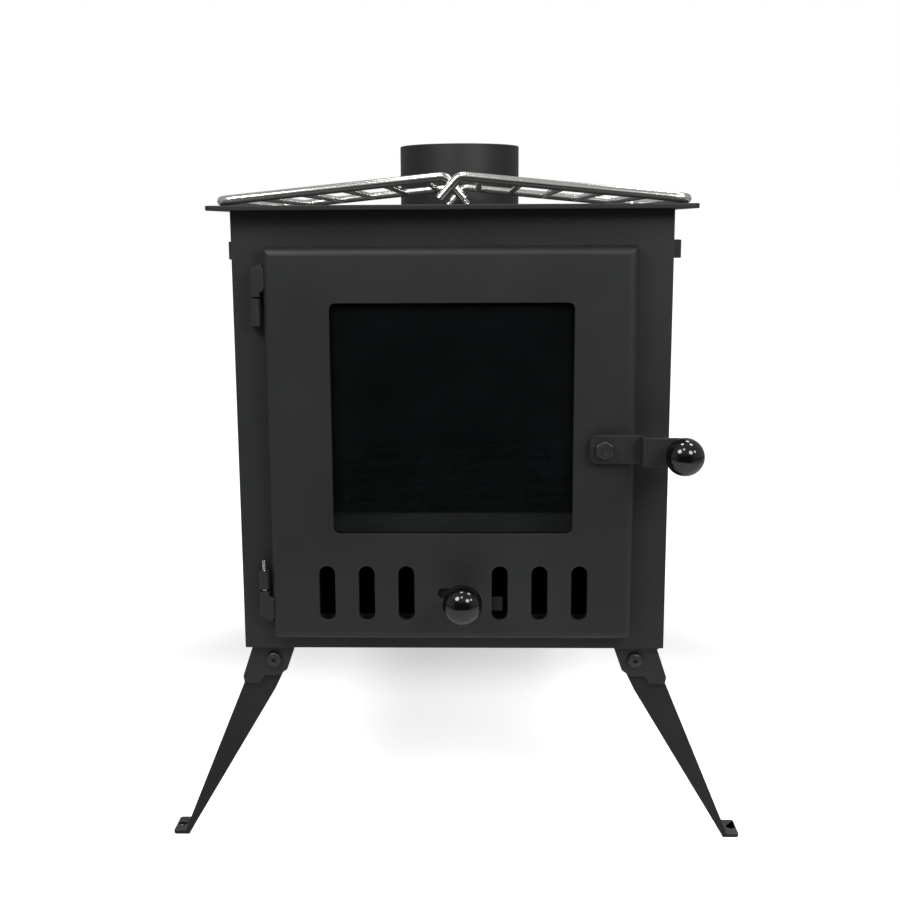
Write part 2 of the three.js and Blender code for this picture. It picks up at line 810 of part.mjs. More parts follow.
/** The inner tongue: it points up while the bar is level and turns behind the frame as the bar drops. */
function latchTongue() {
  const half = tongueWidth / 2;
  const plate = new THREE.Shape();
  plate.absarc(latchX, latchZ, half, Math.PI, Math.PI * 2);
  plate.lineTo(latchX + half, latchZ + tongueReach - 3);
  plate.lineTo(latchX + half - 3, latchZ + tongueReach);
  plate.lineTo(latchX - half + 3, latchZ + tongueReach);
  plate.lineTo(latchX - half, latchZ + tongueReach - 3);
  plate.holes.push(circle(latchX, latchZ, latchBoltDiameter / 2 + gap, THREE.Path));
  return sheetXZ(plate, tongueFront, tongueSheet, 6);
}

function buildLatch() {
  const nutEnd = tongueBack + hexHeight;
  const boltEnd = nutEnd + 2;
  const knobX = latchX + latchBallX;
  const bore = latchBoltDiameter + 2 * gap;
  piece('latch_bar', latchBar(), stovePaint);
  piece('latch_washer', ring(latchWasherDiameter, barBack, doorFront), fastenerSteel);
  piece('latch_spacer', ring(latchWasherDiameter - 2, panelBack, tongueFront), fastenerSteel);
  piece('latch_tongue', latchTongue(), innerSteel);
  piece('latch_bolt', join(
    hexY(latchX, latchZ, hexWidth, barFront - hexHeight, barFront),
    rodY(latchX, latchZ, latchBoltDiameter, barFront - 1, boltEnd),
  ), fastenerSteel);
  piece('latch_nut', nut(latchX, latchZ, hexWidth, bore, tongueBack, nutEnd), fastenerSteel);
  piece('latch_knob_stud', join(
    rodY(knobX, latchZ, latchBoltDiameter, latchKnobY, proudBack),
    rodY(knobX, latchZ, latchCollarDiameter, proudFront - latchKnobNeck + 1, proudFront),
  ), fastenerSteel);
  piece('latch_ball_knob', cut(
    ballY(knobX, latchKnobY, latchZ, latchKnobDiameter, latchCollarDiameter),
    rodY(knobX, latchZ, bore, latchKnobY - gap, proudFront),
  ), blackBall);
}

// ---------- Hinges ----------

/** A door ear: a front leaf with a sloping end, and a knuckle behind it. up is +1 or -1. */
function hingeEar(jointZ, up, height, slope) {
  const inner = doorLeft;
  const outer = hingeX - earOverlap;
  const near = jointZ + up * gap;
  const far = jointZ + up * height;
  const relief = near + up * earNotchHeight;
  const leaf = outline([
    [outer, near], [inner - earNotchWidth, near], [inner - earNotchWidth, relief], [inner, relief],
    [inner, far + up * slope], [outer, far],
  ]);
  const leafY = hingeY - knuckleRadius;
  const low = Math.min(near, far);
  const high = Math.max(near, far);
  const ear = join(
    sheetXZ(leaf, leafY, earSheet),
    rodZ(hingeX, hingeY, knuckleDiameter, low, high),
  );
  return cut(ear, rodZ(hingeX, hingeY, pinDiameter + 2 * gap, low - 1, high + 1));
}

/** A body bracket: a knuckle carried by a strap welded to the front frame. */
function hingeBracket(jointZ, up, height) {
  const near = jointZ - up * runningGap;
  const far = jointZ - up * height;
  const low = Math.min(near, far);
  const high = Math.max(near, far);
  const strap = block(hingeX - knuckleRadius, hingeX - knuckleRadius + earSheet, hingeY, 0, low, high);
  const bracket = join(rodZ(hingeX, hingeY, knuckleDiameter, low, high), strap);
  return cut(bracket, rodZ(hingeX, hingeY, pinDiameter + 2 * gap, low - 1, high + 1));
}

/** The pin of one hinge, as long as its knuckles; a thinner tip may stand out at the top. */
function hingePin(jointZ, below, above, tip) {
  const top = jointZ + above;
  const shank = rodZ(hingeX, hingeY, pinDiameter, jointZ - below, top);
  return tip > 0 ? join(shank, rodZ(hingeX, hingeY, pinTipDiameter, top - 1, top + tip)) : shank;
}

function buildHinges() {
  piece('hinge_ear_upper', hingeEar(upperJointZ, 1, upperEarHeight, upperEarSlope), stovePaint);
  piece('hinge_ear_lower', hingeEar(lowerJointZ, -1, lowerEarHeight, lowerEarSlope), stovePaint);
  piece('hinge_bracket_upper', hingeBracket(upperJointZ, 1, upperBracketHeight), stovePaint);
  piece('hinge_bracket_lower', hingeBracket(lowerJointZ, -1, lowerBracketHeight), stovePaint);
  piece('hinge_pin_upper', hingePin(upperJointZ, upperBracketHeight, upperEarHeight, 0), stainless);
  piece('hinge_pin_lower', hingePin(
    lowerJointZ, lowerEarHeight, lowerBracketHeight, pinTipHeight,
  ), stainless);
}

// ---------- Racks and sockets ----------

/** One wire rack: a U-bent frame whose two ends hook down past the middle, and welded cross bars. */
function wireRack(side, front) {
  const back = front + rackLength;
  const radius = wireDiameter / 2;
  const restZ = plateTop + radius + gap;
  const outerX = side * rackReach;
  const bendX = side * rackBendX;
  const hookX = side * (rackBendX - rackHook);
  const bendZ = plateTop + rackBendRise;
  const point = (x, y, z) => new THREE.Vector3(x, y, z);
  const corners = [
    point(hookX, front, restZ), point(bendX, front, bendZ), point(outerX, front, restZ),
    point(outerX, back, restZ), point(bendX, back, bendZ), point(hookX, back, restZ),
  ];
  const frameWire = wire(bentStations(corners, [radius, rackCorner, rackCorner, radius]), wireDiameter);
  const slope = (bendZ - restZ) / (rackReach - rackBendX);
  const bars = [];
  for (let i = 1; i <= rackBars; i += 1) {
    const fromOuter = i * rackPitch;
    const z = restZ + slope * fromOuter - (wireDiameter - barDiameter) / 2;
    bars.push(rodY(side * (rackReach - fromOuter), z, barDiameter, front + rackWeld, back - rackWeld, 8));
  }
  return join(frameWire, ...bars);
}

/** An open-topped socket loop on a side wall that takes a rack's hook. */
function rackSocket(side, y) {
  const bore = wireDiameter + socketSlack;
  const depth = bore + socketWall;
  const half = bore / 2 + socketWall;
  const wall = side * halfBody;
  const plan = outline([
    [wall, y - half], [wall + side * depth, y - half], [wall + side * depth, y + half], [wall, y + half],
    [wall, y + bore / 2], [wall + side * bore, y + bore / 2], [wall + side * bore, y - bore / 2],
    [wall, y - bore / 2],
  ]);
  return sheetXY(plan, bodyTop - socketDrop - socketHeight, socketHeight);
}

function buildRacks() {
  piece('rack_right', wireRack(1, rackFront), stainless);
  piece('rack_left', wireRack(-1, rackFront + rackShift), stainless);
  const rows = { front: socketFront, back: socketFront + rackLength };
  Object.entries(rows).forEach(([row, y]) => {
    piece(`rack_socket_${row}_left`, rackSocket(-1, y + rackShift), stovePaint);
    piece(`rack_socket_${row}_right`, rackSocket(1, y), stovePaint);
  });
}

// ---------- Legs ----------

/** Places along y of one leg's layers, from the outside in; facing is -1 at the front, 1 at the back. */
function legLayers(facing) {
  const face = facing < 0 ? legSetback : bodyDepth - legSetback;
  const inward = -facing;
  return {
    inward,
    bracket: face,
    blade: face + inward * (bracketSheet + gap),
    nut: face + inward * (bracketSheet + gap + legSheet + gap),
  };
}

/** An outline in x and z thickened inwards from a layer's outer face. */
function layer(shape, start, inward, thickness) {
  return sheetXZ(shape, Math.min(start, start + inward * thickness), thickness);
}

/** The bracket: a face plate with a stepped lower edge and a flange that stops the leg. */
function legBracket(side, facing) {
  const { inward, bracket } = legLayers(facing);
  const x = (offset) => side * (legBoltX + offset);
  const top = bodyBottom;
  const low = top - bracketOuterDepth;
  const step = top - bracketInnerDepth;
  const shoulder = legBoltZ + shoulderZ;
  const stopX = shoulderX + gap + bracketFlange;
  const face = outline([
    [x(-bracketInner), top], [x(bracketOuter), top], [x(stopX), shoulder], [x(stopX - 0.8), low],
    [x(stopX - 11), low], [x(stopX - 14), step], [x(-2.6), step], [x(-8.3), step + 4.1],
    [x(-11.6), step + 13.5],
  ]);
  const plate = layer(face, bracket, inward, bracketSheet);
  const flange = outline([
    [x(bracketOuter), top], [x(stopX), shoulder], [x(stopX - bracketFlange), shoulder],
    [x(bracketOuter - bracketFlange), top],
  ]);
  const stop = layer(flange, bracket, inward, bracketSheet + gap + legSheet + gap);
  const hole = rodY(
    x(0), legBoltZ, legBoltDiameter + 2 * gap,
    Math.min(bracket, bracket + inward * bracketSheet) - 1,
    Math.max(bracket, bracket + inward * bracketSheet) + 1,
  );
  return cut(join(plate, stop), hole);
}

/** The tapered blade and its foot tab, drawn standing. */
function legBlade(side, facing) {
  const { inward, blade } = legLayers(facing);
  const along = (distance, across) => [
    side * (legBoltX + distance * Math.sin(legLean) + across * Math.cos(legLean)),
    legBoltZ - distance * Math.cos(legLean) + across * Math.sin(legLean),
  ];
  const points = [];
  for (let i = 0; i <= 8; i += 1) {
    const angle = Math.PI * i / 8;
    points.push(along(-legRootRadius * Math.sin(angle), legRootRadius * Math.cos(angle)));
  }
  const footInner = legFootX - legFootWidth / 2;
  const footOuter = legFootX + legFootWidth / 2;
  points.push(along(legShoulder, -legShoulderInner));
  points.push([side * footInner, 0]);
  points.push([side * footOuter, 0]);
  points.push(along(legShoulder, legShoulderOuter));
  const plate = layer(outline(points), blade, inward, legSheet);
  const tabEnd = blade + inward * tabDepth;
  const tabEdges = [side * (legFootX - tabInner), side * (legFootX + tabOuter)];
  const tab = roundedRectangle(
    Math.min(...tabEdges), Math.max(...tabEdges), Math.min(blade, tabEnd), Math.max(blade, tabEnd), tabCorner,
  );
  const holeX = side * (legFootX + tabOuter - tabHoleEdge);
  tab.holes.push(circle(holeX, blade + inward * tabHoleFront, tabHole / 2, THREE.Path));
  const hole = rodY(
    side * legBoltX, legBoltZ, legBoltDiameter + 2 * gap,
    Math.min(blade, tabEnd) - 1, Math.max(blade, tabEnd) + 1,
  );
  return cut(join(plate, sheetXY(tab, 0, legSheet, 5)), hole);
}

/** A round-headed bolt through a bracket and a leg. */
function legBolt(x, layers) {
  const { inward, bracket } = layers;
  const head = bracket - inward * legHeadHeight;
  const end = layers.nut + inward * (legNutHeight + 1.5);
  const neck = head + inward;
  return join(
    rodY(x, legBoltZ, legHeadDiameter, Math.min(head, bracket), Math.max(head, bracket), 20),
    rodY(x, legBoltZ, legBoltDiameter, Math.min(neck, end), Math.max(neck, end), 16),
  );
}

function legNut(x, layers) {
  const end = layers.nut + layers.inward * legNutHeight;
  const bore = legBoltDiameter + 2 * gap;
  return nut(x, legBoltZ, hexWidth, bore, Math.min(layers.nut, end), Math.max(layers.nut, end));
}

function buildLegs() {
  const rows = { front: -1, back: 1 };
  const sides = { left: -1, right: 1 };
  Object.entries(rows).forEach(([row, facing]) => {
    const layers = legLayers(facing);
    Object.entries(sides).forEach(([hand, side]) => {
      const x = side * legBoltX;
      piece(`leg_bracket_${row}_${hand}`, legBracket(side, facing), stovePaint);
      piece(`leg_${row}_${hand}`, legBlade(side, facing), stovePaint);
      piece(`leg_bolt_${row}_${hand}`, legBolt(x, layers), fastenerSteel);
      piece(`leg_nut_${row}_${hand}`, legNut(x, layers), fastenerSteel);
    });
  });
}

buildFirebox();
buildInside();
buildDoor();
buildAirSlide();
buildLatch();
buildHinges();
buildRacks();
buildLegs();

export default stove;
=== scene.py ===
"""Tent wood stove: looks and studio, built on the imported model's frame."""

import json
from math import asin, cos, degrees, dist, pi, radians, sin, tan

import bmesh
import bpy
from mathutils import Matrix, Vector


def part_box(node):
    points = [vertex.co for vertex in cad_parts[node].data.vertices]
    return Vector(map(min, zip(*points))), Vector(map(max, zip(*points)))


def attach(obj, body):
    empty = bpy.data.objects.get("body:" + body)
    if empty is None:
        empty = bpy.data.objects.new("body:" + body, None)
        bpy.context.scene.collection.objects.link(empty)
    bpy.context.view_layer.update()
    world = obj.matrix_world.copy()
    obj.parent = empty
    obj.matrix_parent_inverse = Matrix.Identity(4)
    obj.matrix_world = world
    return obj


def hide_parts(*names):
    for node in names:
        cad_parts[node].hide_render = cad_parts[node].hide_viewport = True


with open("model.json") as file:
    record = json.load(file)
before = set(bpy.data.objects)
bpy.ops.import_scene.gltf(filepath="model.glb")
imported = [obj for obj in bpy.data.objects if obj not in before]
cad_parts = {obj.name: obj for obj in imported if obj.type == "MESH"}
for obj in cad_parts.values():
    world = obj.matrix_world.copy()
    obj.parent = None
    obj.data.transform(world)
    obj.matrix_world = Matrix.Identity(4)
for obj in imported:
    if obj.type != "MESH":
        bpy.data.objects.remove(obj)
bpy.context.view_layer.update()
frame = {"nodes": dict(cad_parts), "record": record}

bl_info = {
    "name": "Tent wood stove",
    "version": (1, 0, 0),
    "blender": (4, 5, 0),
    "location": "View3D > Sidebar > Stove",
    "description": "Dresses a folding tent stove with its finishes and sets up a plain studio",
    "category": "Add Mesh",
}

MM = 0.001


# ---------- What the frame says ----------

def body_of(node):
    """The body that a node moves with."""
    for body, nodes in frame["record"]["behaviour"]["bodies"].items():
        if node in nodes:
            return body
    raise ValueError(f"no body carries {node}")


def span(node, axis):
    """Lowest and highest place of a node along one axis, 0 to 2."""
    low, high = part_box(node)
    return low[axis], high[axis]


def middle(node):
    low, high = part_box(node)
    return (low + high) / 2


def axle(node):
    """Middle of a node in x and z, at no depth."""
    return middle(node) * Vector((1, 0, 1))


# ---------- Meshes ----------

def mesh_object(name, mesh):
    piece = bpy.data.objects.new(name, mesh)
    bpy.context.scene.collection.objects.link(piece)
    return piece


def form_object(name, form):
    """A finished bmesh as an object; the bmesh is used up."""
    mesh = bpy.data.meshes.new(name)
    form.to_mesh(mesh)
    form.free()
    return mesh_object(name, mesh)


def solid_object(name, form):
    """A closed bmesh as an object, with its faces turned outwards."""
    bmesh.ops.recalc_face_normals(form, faces=form.faces)
    return form_object(name, form)


def capped_object(name, form, loops):
    """A tube over loops of vertices, closed at both ends."""
    skin(form, loops)
    form.faces.new(loops[0])
    form.faces.new(loops[-1])
    return solid_object(name, form)


def discard(piece):
    """Removes an object with its mesh."""
    mesh = piece.data
    bpy.data.objects.remove(piece)
    bpy.data.meshes.remove(mesh)


def skin(form, loops):
    """Faces between each loop of vertices and the next; a loop may be one vertex."""
    for lower, upper in zip(loops, loops[1:]):
        below, above = len(lower), len(upper)
        for i in range(max(below, above)):
            corners = (lower[(i - 1) % below], lower[i % below], upper[i % above], upper[(i - 1) % above])
            apart = tuple(dict.fromkeys(corners))
            if len(apart) > 2:
                form.faces.new(apart)


def freeze(piece):
    """Turns a piece's modifiers into its mesh."""
    depsgraph = bpy.context.evaluated_depsgraph_get()
    mesh = bpy.data.meshes.new_from_object(piece.evaluated_get(depsgraph), depsgraph=depsgraph)
    old = piece.data
    piece.modifiers.clear()
    piece.data = mesh
    mesh.name = piece.name
    bpy.data.meshes.remove(old)


def shade(piece, angle=38):
    """Smooth shading with sharp edges past an angle, and flat faces kept flat up to their rounded edges."""
    piece.data.shade_smooth()
    piece.data.set_sharp_from_angle(angle=radians(angle))
    weighted = piece.modifiers.new("Normals", "WEIGHTED_NORMAL")
    weighted.keep_sharp = True
    weighted.weight = 60
    freeze(piece)


def round_edges(piece, width):
    """Breaks the sharp edges of a piece."""
    bevel = piece.modifiers.new("Edges", "BEVEL")
    bevel.width = width
    bevel.segments = 2
    bevel.limit_method = "ANGLE"
    bevel.angle_limit = radians(35)
    bevel.use_clamp_overlap = False
    bevel.miter_outer = "MITER_ARC"
    freeze(piece)


def from_frame(name, node, edge):
    """A node's own form as a new piece with broken edges."""
    mesh = frame["nodes"][node].data.copy()
    mesh.name = name
    mesh.materials.clear()
    form = bmesh.new()
    form.from_mesh(mesh)
    bmesh.ops.remove_doubles(form, verts=form.verts, dist=0.03 * MM)
    bmesh.ops.dissolve_limit(form, angle_limit=radians(1), verts=form.verts, edges=form.edges)
    form.to_mesh(mesh)
    form.free()
    for attribute in ("custom_normal", "sharp_edge", "sharp_face"):
        if attribute in mesh.attributes:
            mesh.attributes.remove(mesh.attributes[attribute])
    while mesh.uv_layers:
        mesh.uv_layers.remove(mesh.uv_layers[0])
    piece = mesh_object(name, mesh)
    if edge > 0:
        round_edges(piece, edge)
    shade(piece)
    return piece


def joined(name, pieces):
    """Several pieces as one object."""
    form = bmesh.new()
    for piece in pieces:
        form.from_mesh(piece.data)
    for piece in pieces:
        discard(piece)
    whole = form_object(name, form)
    shade(whole)
    return whole


def carve(piece, tool):
    """Cuts a piece with a tool, which is used up."""
    boolean = piece.modifiers.new("Cut", "BOOLEAN")
    boolean.operation = "DIFFERENCE"
    boolean.solver = "EXACT"
    boolean.object = tool
    freeze(piece)
    discard(tool)


SAME_PLACE = 1e-6


def turns(first, last, steps):
    """Even turns from one to another, given in degrees and handed out in radians."""
    return [radians(first + (last - first) * i / steps) for i in range(steps + 1)]


def rounded_ring(u0, u1, v0, v1, radius, steps=8):
    """A rounded rectangle as an anticlockwise ring of points."""
    left, right, low, high = u0 + radius, u1 - radius, v0 + radius, v1 - radius
    ring = []
    for u, v, start in ((right, low, -90), (right, high, 0), (left, high, 90), (left, low, 180)):
        for turn in turns(start, start + 90, steps):
            point = (u + radius * cos(turn), v + radius * sin(turn))
            if not ring or dist(point, ring[-1]) > SAME_PLACE:
                ring.append(point)
    if dist(ring[0], ring[-1]) < SAME_PLACE:
        ring.pop()
    return ring


def circle_ring(u, v, radius, count=48):
    return [(u + radius * cos(turn), v + radius * sin(turn)) for turn in turns(0, 360, count)[:-1]]


def grown(ring, distance):
    """An anticlockwise ring moved outwards by a distance."""
    moved = []
    for i, (u, v) in enumerate(ring):
        pu, pv = ring[i - 1]
        nu, nv = ring[(i + 1) % len(ring)]
        before = Vector((u - pu, v - pv)).normalized()
        after = Vector((nu - u, nv - v)).normalized()
        share = distance / max(0.3, 1 + before.dot(after))
        moved.append((u + share * (before.y + after.y), v - share * (before.x + after.x)))
    return moved


def rounding(edge, low, high):
    """Inset and depth from one face, round the edge and up to the other face."""
    near = [(edge * (1 - sin(turn)), low + edge * (1 - cos(turn))) for turn in turns(0, 90, 3)]
    far = [(edge * (1 - sin(turn)), high - edge * (1 - cos(turn))) for turn in turns(90, 0, 3)]
    return near + far


def facing_front(u, v, depth):
    """A place on a sheet that stands in x and z."""
    return Vector((u, depth, v))


def lying(u, v, depth):
    """A place on a sheet that lies in x and y."""
    return Vector((u, v, depth))


def pressed_sheet(name, outer_rings, holes, hole_profile, place):
    """A sheet whose outside runs through rings of (ring, depth), with holes along a profile of their own."""
    form = bmesh.new()
    borders = ([], [])

    def wall(levels):
        loops = [[form.verts.new(place(u, v, depth)) for u, v in ring] for ring, depth in levels]
        skin(form, loops)
        for border, loop in zip(borders, (loops[0], loops[-1])):
            border.extend(form.edges.get((loop[i - 1], loop[i])) for i in range(len(loop)))

    wall(outer_rings)
    for hole in holes:
        wall([(grown(hole, inset), depth) for inset, depth in hole_profile])
    for border in borders:
        bmesh.ops.triangle_fill(form, use_beauty=True, use_dissolve=False, edges=border)
    return solid_object(name, form)


def flat_sheet(name, outline, holes, low, high, edge, place):
    """A flat sheet with holes and with all its edges rounded."""
    profile = rounding(edge, low, high)
    outside = [(grown(outline, -inset), depth) for inset, depth in profile]
    return pressed_sheet(name, outside, holes, profile, place)


ON_AXIS = 1e-9


def turned(name, profile, centre, count, axis="Y"):
    """A piece turned on a lathe. A radius may be a number or a function of the turn; a profile
    that starts and ends on the axis is closed there."""
    form = bmesh.new()
    loops = []
    for radius, along in profile:
        loop = []
        on_axis = not callable(radius) and radius < ON_AXIS
        for i in range(1 if on_axis else count):
            turn = 2 * pi * i / count
            r = radius(turn) if callable(radius) else radius
            h = along(turn) if callable(along) else along
            a, b = r * cos(turn), r * sin(turn)
            spot = Vector((a, h, b)) if axis == "Y" else Vector((a, b, h))
            loop.append(form.verts.new(spot + centre))
        loops.append(loop)
    if len(loops[0]) > 1:
        loops.append(loops[0])
    skin(form, loops)
    return solid_object(name, form)


def bent_path(corners, reaches, steps=10):
    """Straight runs between corners, each corner rounded over its reach."""
    path = [Vector(corners[0])]
    for before, here, after, reach in zip(corners, corners[1:], corners[2:], reaches):
        start = here + (before - here).normalized() * reach
        end = here + (after - here).normalized() * reach
        for i in range(steps + 1):
            t = i / steps
            path.append(start.lerp(here, t).lerp(here.lerp(end, t), t))
    path.append(Vector(corners[-1]))
    return path


def wire_form(name, path, radius, sides=24, tip=0.6 * MM):
    """A round wire along a path, with its cut ends slightly broken."""
    form = bmesh.new()
    loops = []
    tangents = []
    for i, here in enumerate(path):
        before = path[max(i - 1, 0)]
        after = path[min(i + 1, len(path) - 1)]
        tangents.append(((here - before).normalized() + (after - here).normalized()).normalized())
    side = tangents[0].orthogonal().normalized()
    first, last = tangents[0], tangents[-1]
    stations = [
        (path[0], first, radius - tip), (path[0] + first * tip, first, radius),
        *((spot, tangent, radius) for spot, tangent in zip(path[1:-1], tangents[1:-1])),
        (path[-1] - last * tip, last, radius), (path[-1], last, radius - tip),
    ]
    for spot, tangent, reach in stations:
        side = (side - tangent * side.dot(tangent)).normalized()
        up = tangent.cross(side)
        loop = []
        for k in range(sides):
            turn = 2 * pi * k / sides
            loop.append(form.verts.new(spot + (side * cos(turn) + up * sin(turn)) * reach))
        loops.append(loop)
    return capped_object(name, form, loops)


def weld_blob(name, centre, sizes):
    """A small squashed bead of weld metal."""
    form = bmesh.new()
    bmesh.ops.create_uvsphere(form, u_segments=16, v_segments=10, radius=1)
    bmesh.ops.scale(form, vec=sizes, verts=form.verts)
    bmesh.ops.translate(form, vec=centre, verts=form.verts)
    return form_object(name, form)


def hexagon(across):
    """Radius of a hexagon with a corner up, as a function of the turn."""
    def radius(turn):
        return across / 2 / cos(((turn - pi / 2) % (pi / 3)) - pi / 6)
    return radius


# ---------- Finishes ----------

def joining(operation, swapped=False):
    """A method that joins a value and another term in one math node."""
    def method(self, other):
        return self.math(operation, other, self) if swapped else self.math(operation, self, other)
    return method


class Value:
    """A shader socket that counts like a number."""

    def __init__(self, nodes, socket):
        self.nodes = nodes
        self.socket = socket

    def math(self, operation, *terms, clamp=False):
        node = self.nodes.node("ShaderNodeMath", {"operation": operation, "use_clamp": clamp})
        for slot, term in zip(node.inputs, terms):
            self.nodes.feed(slot, term)
        return Value(self.nodes, node.outputs[0])

    __add__, __radd__ = joining("ADD"), joining("ADD", True)
    __sub__, __rsub__ = joining("SUBTRACT"), joining("SUBTRACT", True)
    __mul__, __rmul__ = joining("MULTIPLY"), joining("MULTIPLY", True)
    __truediv__, __pow__, larger = joining("DIVIDE"), joining("POWER"), joining("MAXIMUM")

    def size(self):
        """The value without its sign."""
        return self.math("ABSOLUTE", self)

    def limited(self):
        """Kept between 0 and 1."""
        return self.math("ADD", self, 0, clamp=True)

    def ramped(self, low, high):
        """0 at low and below, 1 at high and above, smooth between."""
        settings = {"interpolation_type": "SMOOTHSTEP"}
        inputs = {"Value": self, "From Min": low, "From Max": high}
        node = self.nodes.node("ShaderNodeMapRange", settings, inputs)
        return Value(self.nodes, node.outputs["Result"])


class Nodes:
    """A node tree built through a few methods."""

    def __init__(self, owner):
        owner.use_nodes = True
        self.tree = owner.node_tree
        self.tree.nodes.clear()

    def feed(self, slot, term):
        """Links a socket or sets its value."""
        if isinstance(term, Value):
            term = term.socket
        if isinstance(term, bpy.types.NodeSocket):
            self.tree.links.new(slot, term)
        else:
            slot.default_value = term

    def node(self, kind, settings=None, inputs=None):
        """Adds one node: its settings first, then the values or links of its sockets."""
        node = self.tree.nodes.new(kind)
        for name, value in (settings or {}).items():
            setattr(node, name, value)
        for name, term in (inputs or {}).items():
            self.feed(node.inputs[name], term)
        return node

    def light_path(self, name):
        """1 on one kind of ray, 0 on the others."""
        return Value(self, self.node("ShaderNodeLightPath").outputs[name])

    def seen(self):
        """1 where the camera looks, directly or through glass."""
        return (self.light_path("Is Camera Ray") + self.light_path("Is Transmission Ray")).limited()


class Finish(Nodes):
    """One material with its nodes."""

    def __init__(self, name, base, rough, metal, specular):
        self.material = bpy.data.materials.new(f"{name}_finish")
        super().__init__(self.material)
        self.shader = self.node("ShaderNodeBsdfPrincipled", inputs={
            "Base Color": (*base, 1), "Roughness": rough, "Metallic": metal, "Specular IOR Level": specular,
        })
        self.output = self.node("ShaderNodeOutputMaterial", inputs={"Surface": self.shader.outputs[0]})
        self.place = self.node("ShaderNodeTexCoord").outputs["Object"]

    def set(self, **terms):
        """Sets the shader's own sockets, with an underscore for each space."""
        for name, term in terms.items():
            self.feed(self.shader.inputs[name.replace("_", " ")], term)

    def noise(self, scale, detail=2, rough=0.5, place=None):
        """Cloudy noise, at the object's own place or a stretched one."""
        inputs = {"Vector": place or self.place, "Scale": scale, "Detail": detail, "Roughness": rough}
        return Value(self, self.node("ShaderNodeTexNoise", inputs=inputs).outputs["Fac"])

    def cells(self, scale):
        """Distance to the middle of the nearest cell."""
        inputs = {"Vector": self.place, "Scale": scale}
        return Value(self, self.node("ShaderNodeTexVoronoi", inputs=inputs).outputs["Distance"])

    def axis(self, name):
        """One of the object's coordinates: X, Y or Z."""
        node = self.node("ShaderNodeSeparateXYZ", inputs={"Vector": self.place})
        return Value(self, node.outputs[name])

    def stretched(self, x, y, z):
        """The object's coordinates scaled along each axis."""
        inputs = {0: self.place, 1: (x, y, z)}
        return self.node("ShaderNodeVectorMath", {"operation": "MULTIPLY"}, inputs).outputs[0]

    def facing(self, direction):
        """How far the surface faces a direction, -1 to 1."""
        inputs = {0: self.node("ShaderNodeNewGeometry").outputs["Normal"], 1: direction}
        node = self.node("ShaderNodeVectorMath", {"operation": "DOT_PRODUCT"}, inputs)
        return Value(self, node.outputs["Value"])

    def mixed(self, mask, first, second):
        """A colour between two, by a mask."""
        node = self.node("ShaderNodeMix", {"data_type": "RGBA"})
        slots = [slot for slot in node.inputs if slot.enabled]
        for slot, term in zip(slots, (mask, first, second)):
            if isinstance(term, tuple):
                term = (*term, 1)
            self.feed(slot, term)
        return [slot for slot in node.outputs if slot.enabled][0]

    def bump(self, height, distance, strength, over=None):
        """A bump from a height that runs over about one unit, on top of another bump if one is given."""
        inputs = {"Height": height, "Distance": distance, "Strength": strength}
        if over is not None:
            inputs["Normal"] = over
        return self.node("ShaderNodeBump", inputs=inputs).outputs["Normal"]

    def painted(self):
        """The fine orange peel and grain of sprayed paint."""
        peel = self.bump(self.noise(420, 2), 0.00016, 0.55)
        return self.bump(self.noise(1700, 2), 0.00006, 0.6, peel)


def tinted(colour, factor):
    return tuple(channel * factor for channel in colour)


def stove_paint(look):
    """Matt heat-proof black, a little cloudy, with dust on what faces up."""
    base = tuple(look.paint_colour)
    paint = Finish("stove_paint", base, look.paint_roughness, 0, look.paint_sheen)
    clouds = paint.noise(9, 5, 0.6)
    specks = paint.noise(1400, 1)
    mask = (clouds * 0.7 + specks * 0.3).ramped(0.35, 0.68)
    colour = paint.mixed(mask, tinted(base, 0.82), tinted(base, 1.22))
    dust = paint.facing((0, 0, 1)).ramped(0.75, 1.0) * paint.noise(60, 6, 0.65).ramped(0.42, 0.75)
    colour = paint.mixed(dust * 0.3, colour, (0.035, 0.035, 0.033))
    rough = look.paint_roughness - 0.05 + 0.12 * paint.noise(25, 4) + dust * 0.1
    paint.set(Base_Color=colour, Roughness=rough, Normal=paint.painted())
    return paint.material


def leg_paint(look):
    """The stove's paint on the legs, made darker as painted shade low down, worn to grey steel on the foot
    tabs.
    """
    # Painted shade: the stove's paint made darker and given less sheen, for the weaker light near the floor
    base = tinted(look.paint_colour, 0.75)
    paint = Finish("leg_paint", base, look.paint_roughness, 0, look.paint_sheen * 0.8)
    clouds = paint.noise(14, 5, 0.6)
    colour = paint.mixed(clouds.ramped(0.35, 0.68), tinted(base, 0.85), tinted(base, 1.3))
    height = paint.axis("Z")
    worn = (1 - height.ramped(0.003, 0.007)) * paint.noise(330, 4, 0.7).ramped(0.36, 0.58)
    worn = worn * paint.facing((0, 0, 1)).ramped(0.5, 0.9)
    scuffs = paint.noise(60, 6, 0.7, paint.stretched(1, 1, 0.35)).ramped(0.66, 0.74) * 0.35
    colour = paint.mixed(scuffs.limited(), colour, (0.035, 0.035, 0.034))
    colour = paint.mixed(worn, colour, (0.12, 0.115, 0.108))
    rough = look.paint_roughness - 0.05 + 0.12 * paint.noise(40, 4) - worn * 0.1
    paint.set(Base_Color=colour, Roughness=rough, Metallic=worn * 0.8, Normal=paint.painted())
    return paint.material


def inner_steel(look):
    """Bare sheet inside the stove, dulled by heat and soot."""
    base = tuple(look.inner_colour)
    steel = Finish("inner_steel", base, 0.7, 0.3, 0.2)
    soot = steel.noise(30, 6, 0.65).ramped(0.35, 0.7)
    scale = steel.noise(220, 4, 0.6, steel.stretched(1, 1, 0.4))
    colour = steel.mixed(soot * 0.7, base, tinted(base, 0.35))
    rough = 0.62 + 0.25 * soot
    steel.set(Base_Color=colour, Roughness=rough, Normal=steel.bump(scale, 0.0003, 0.5))
    return steel.material


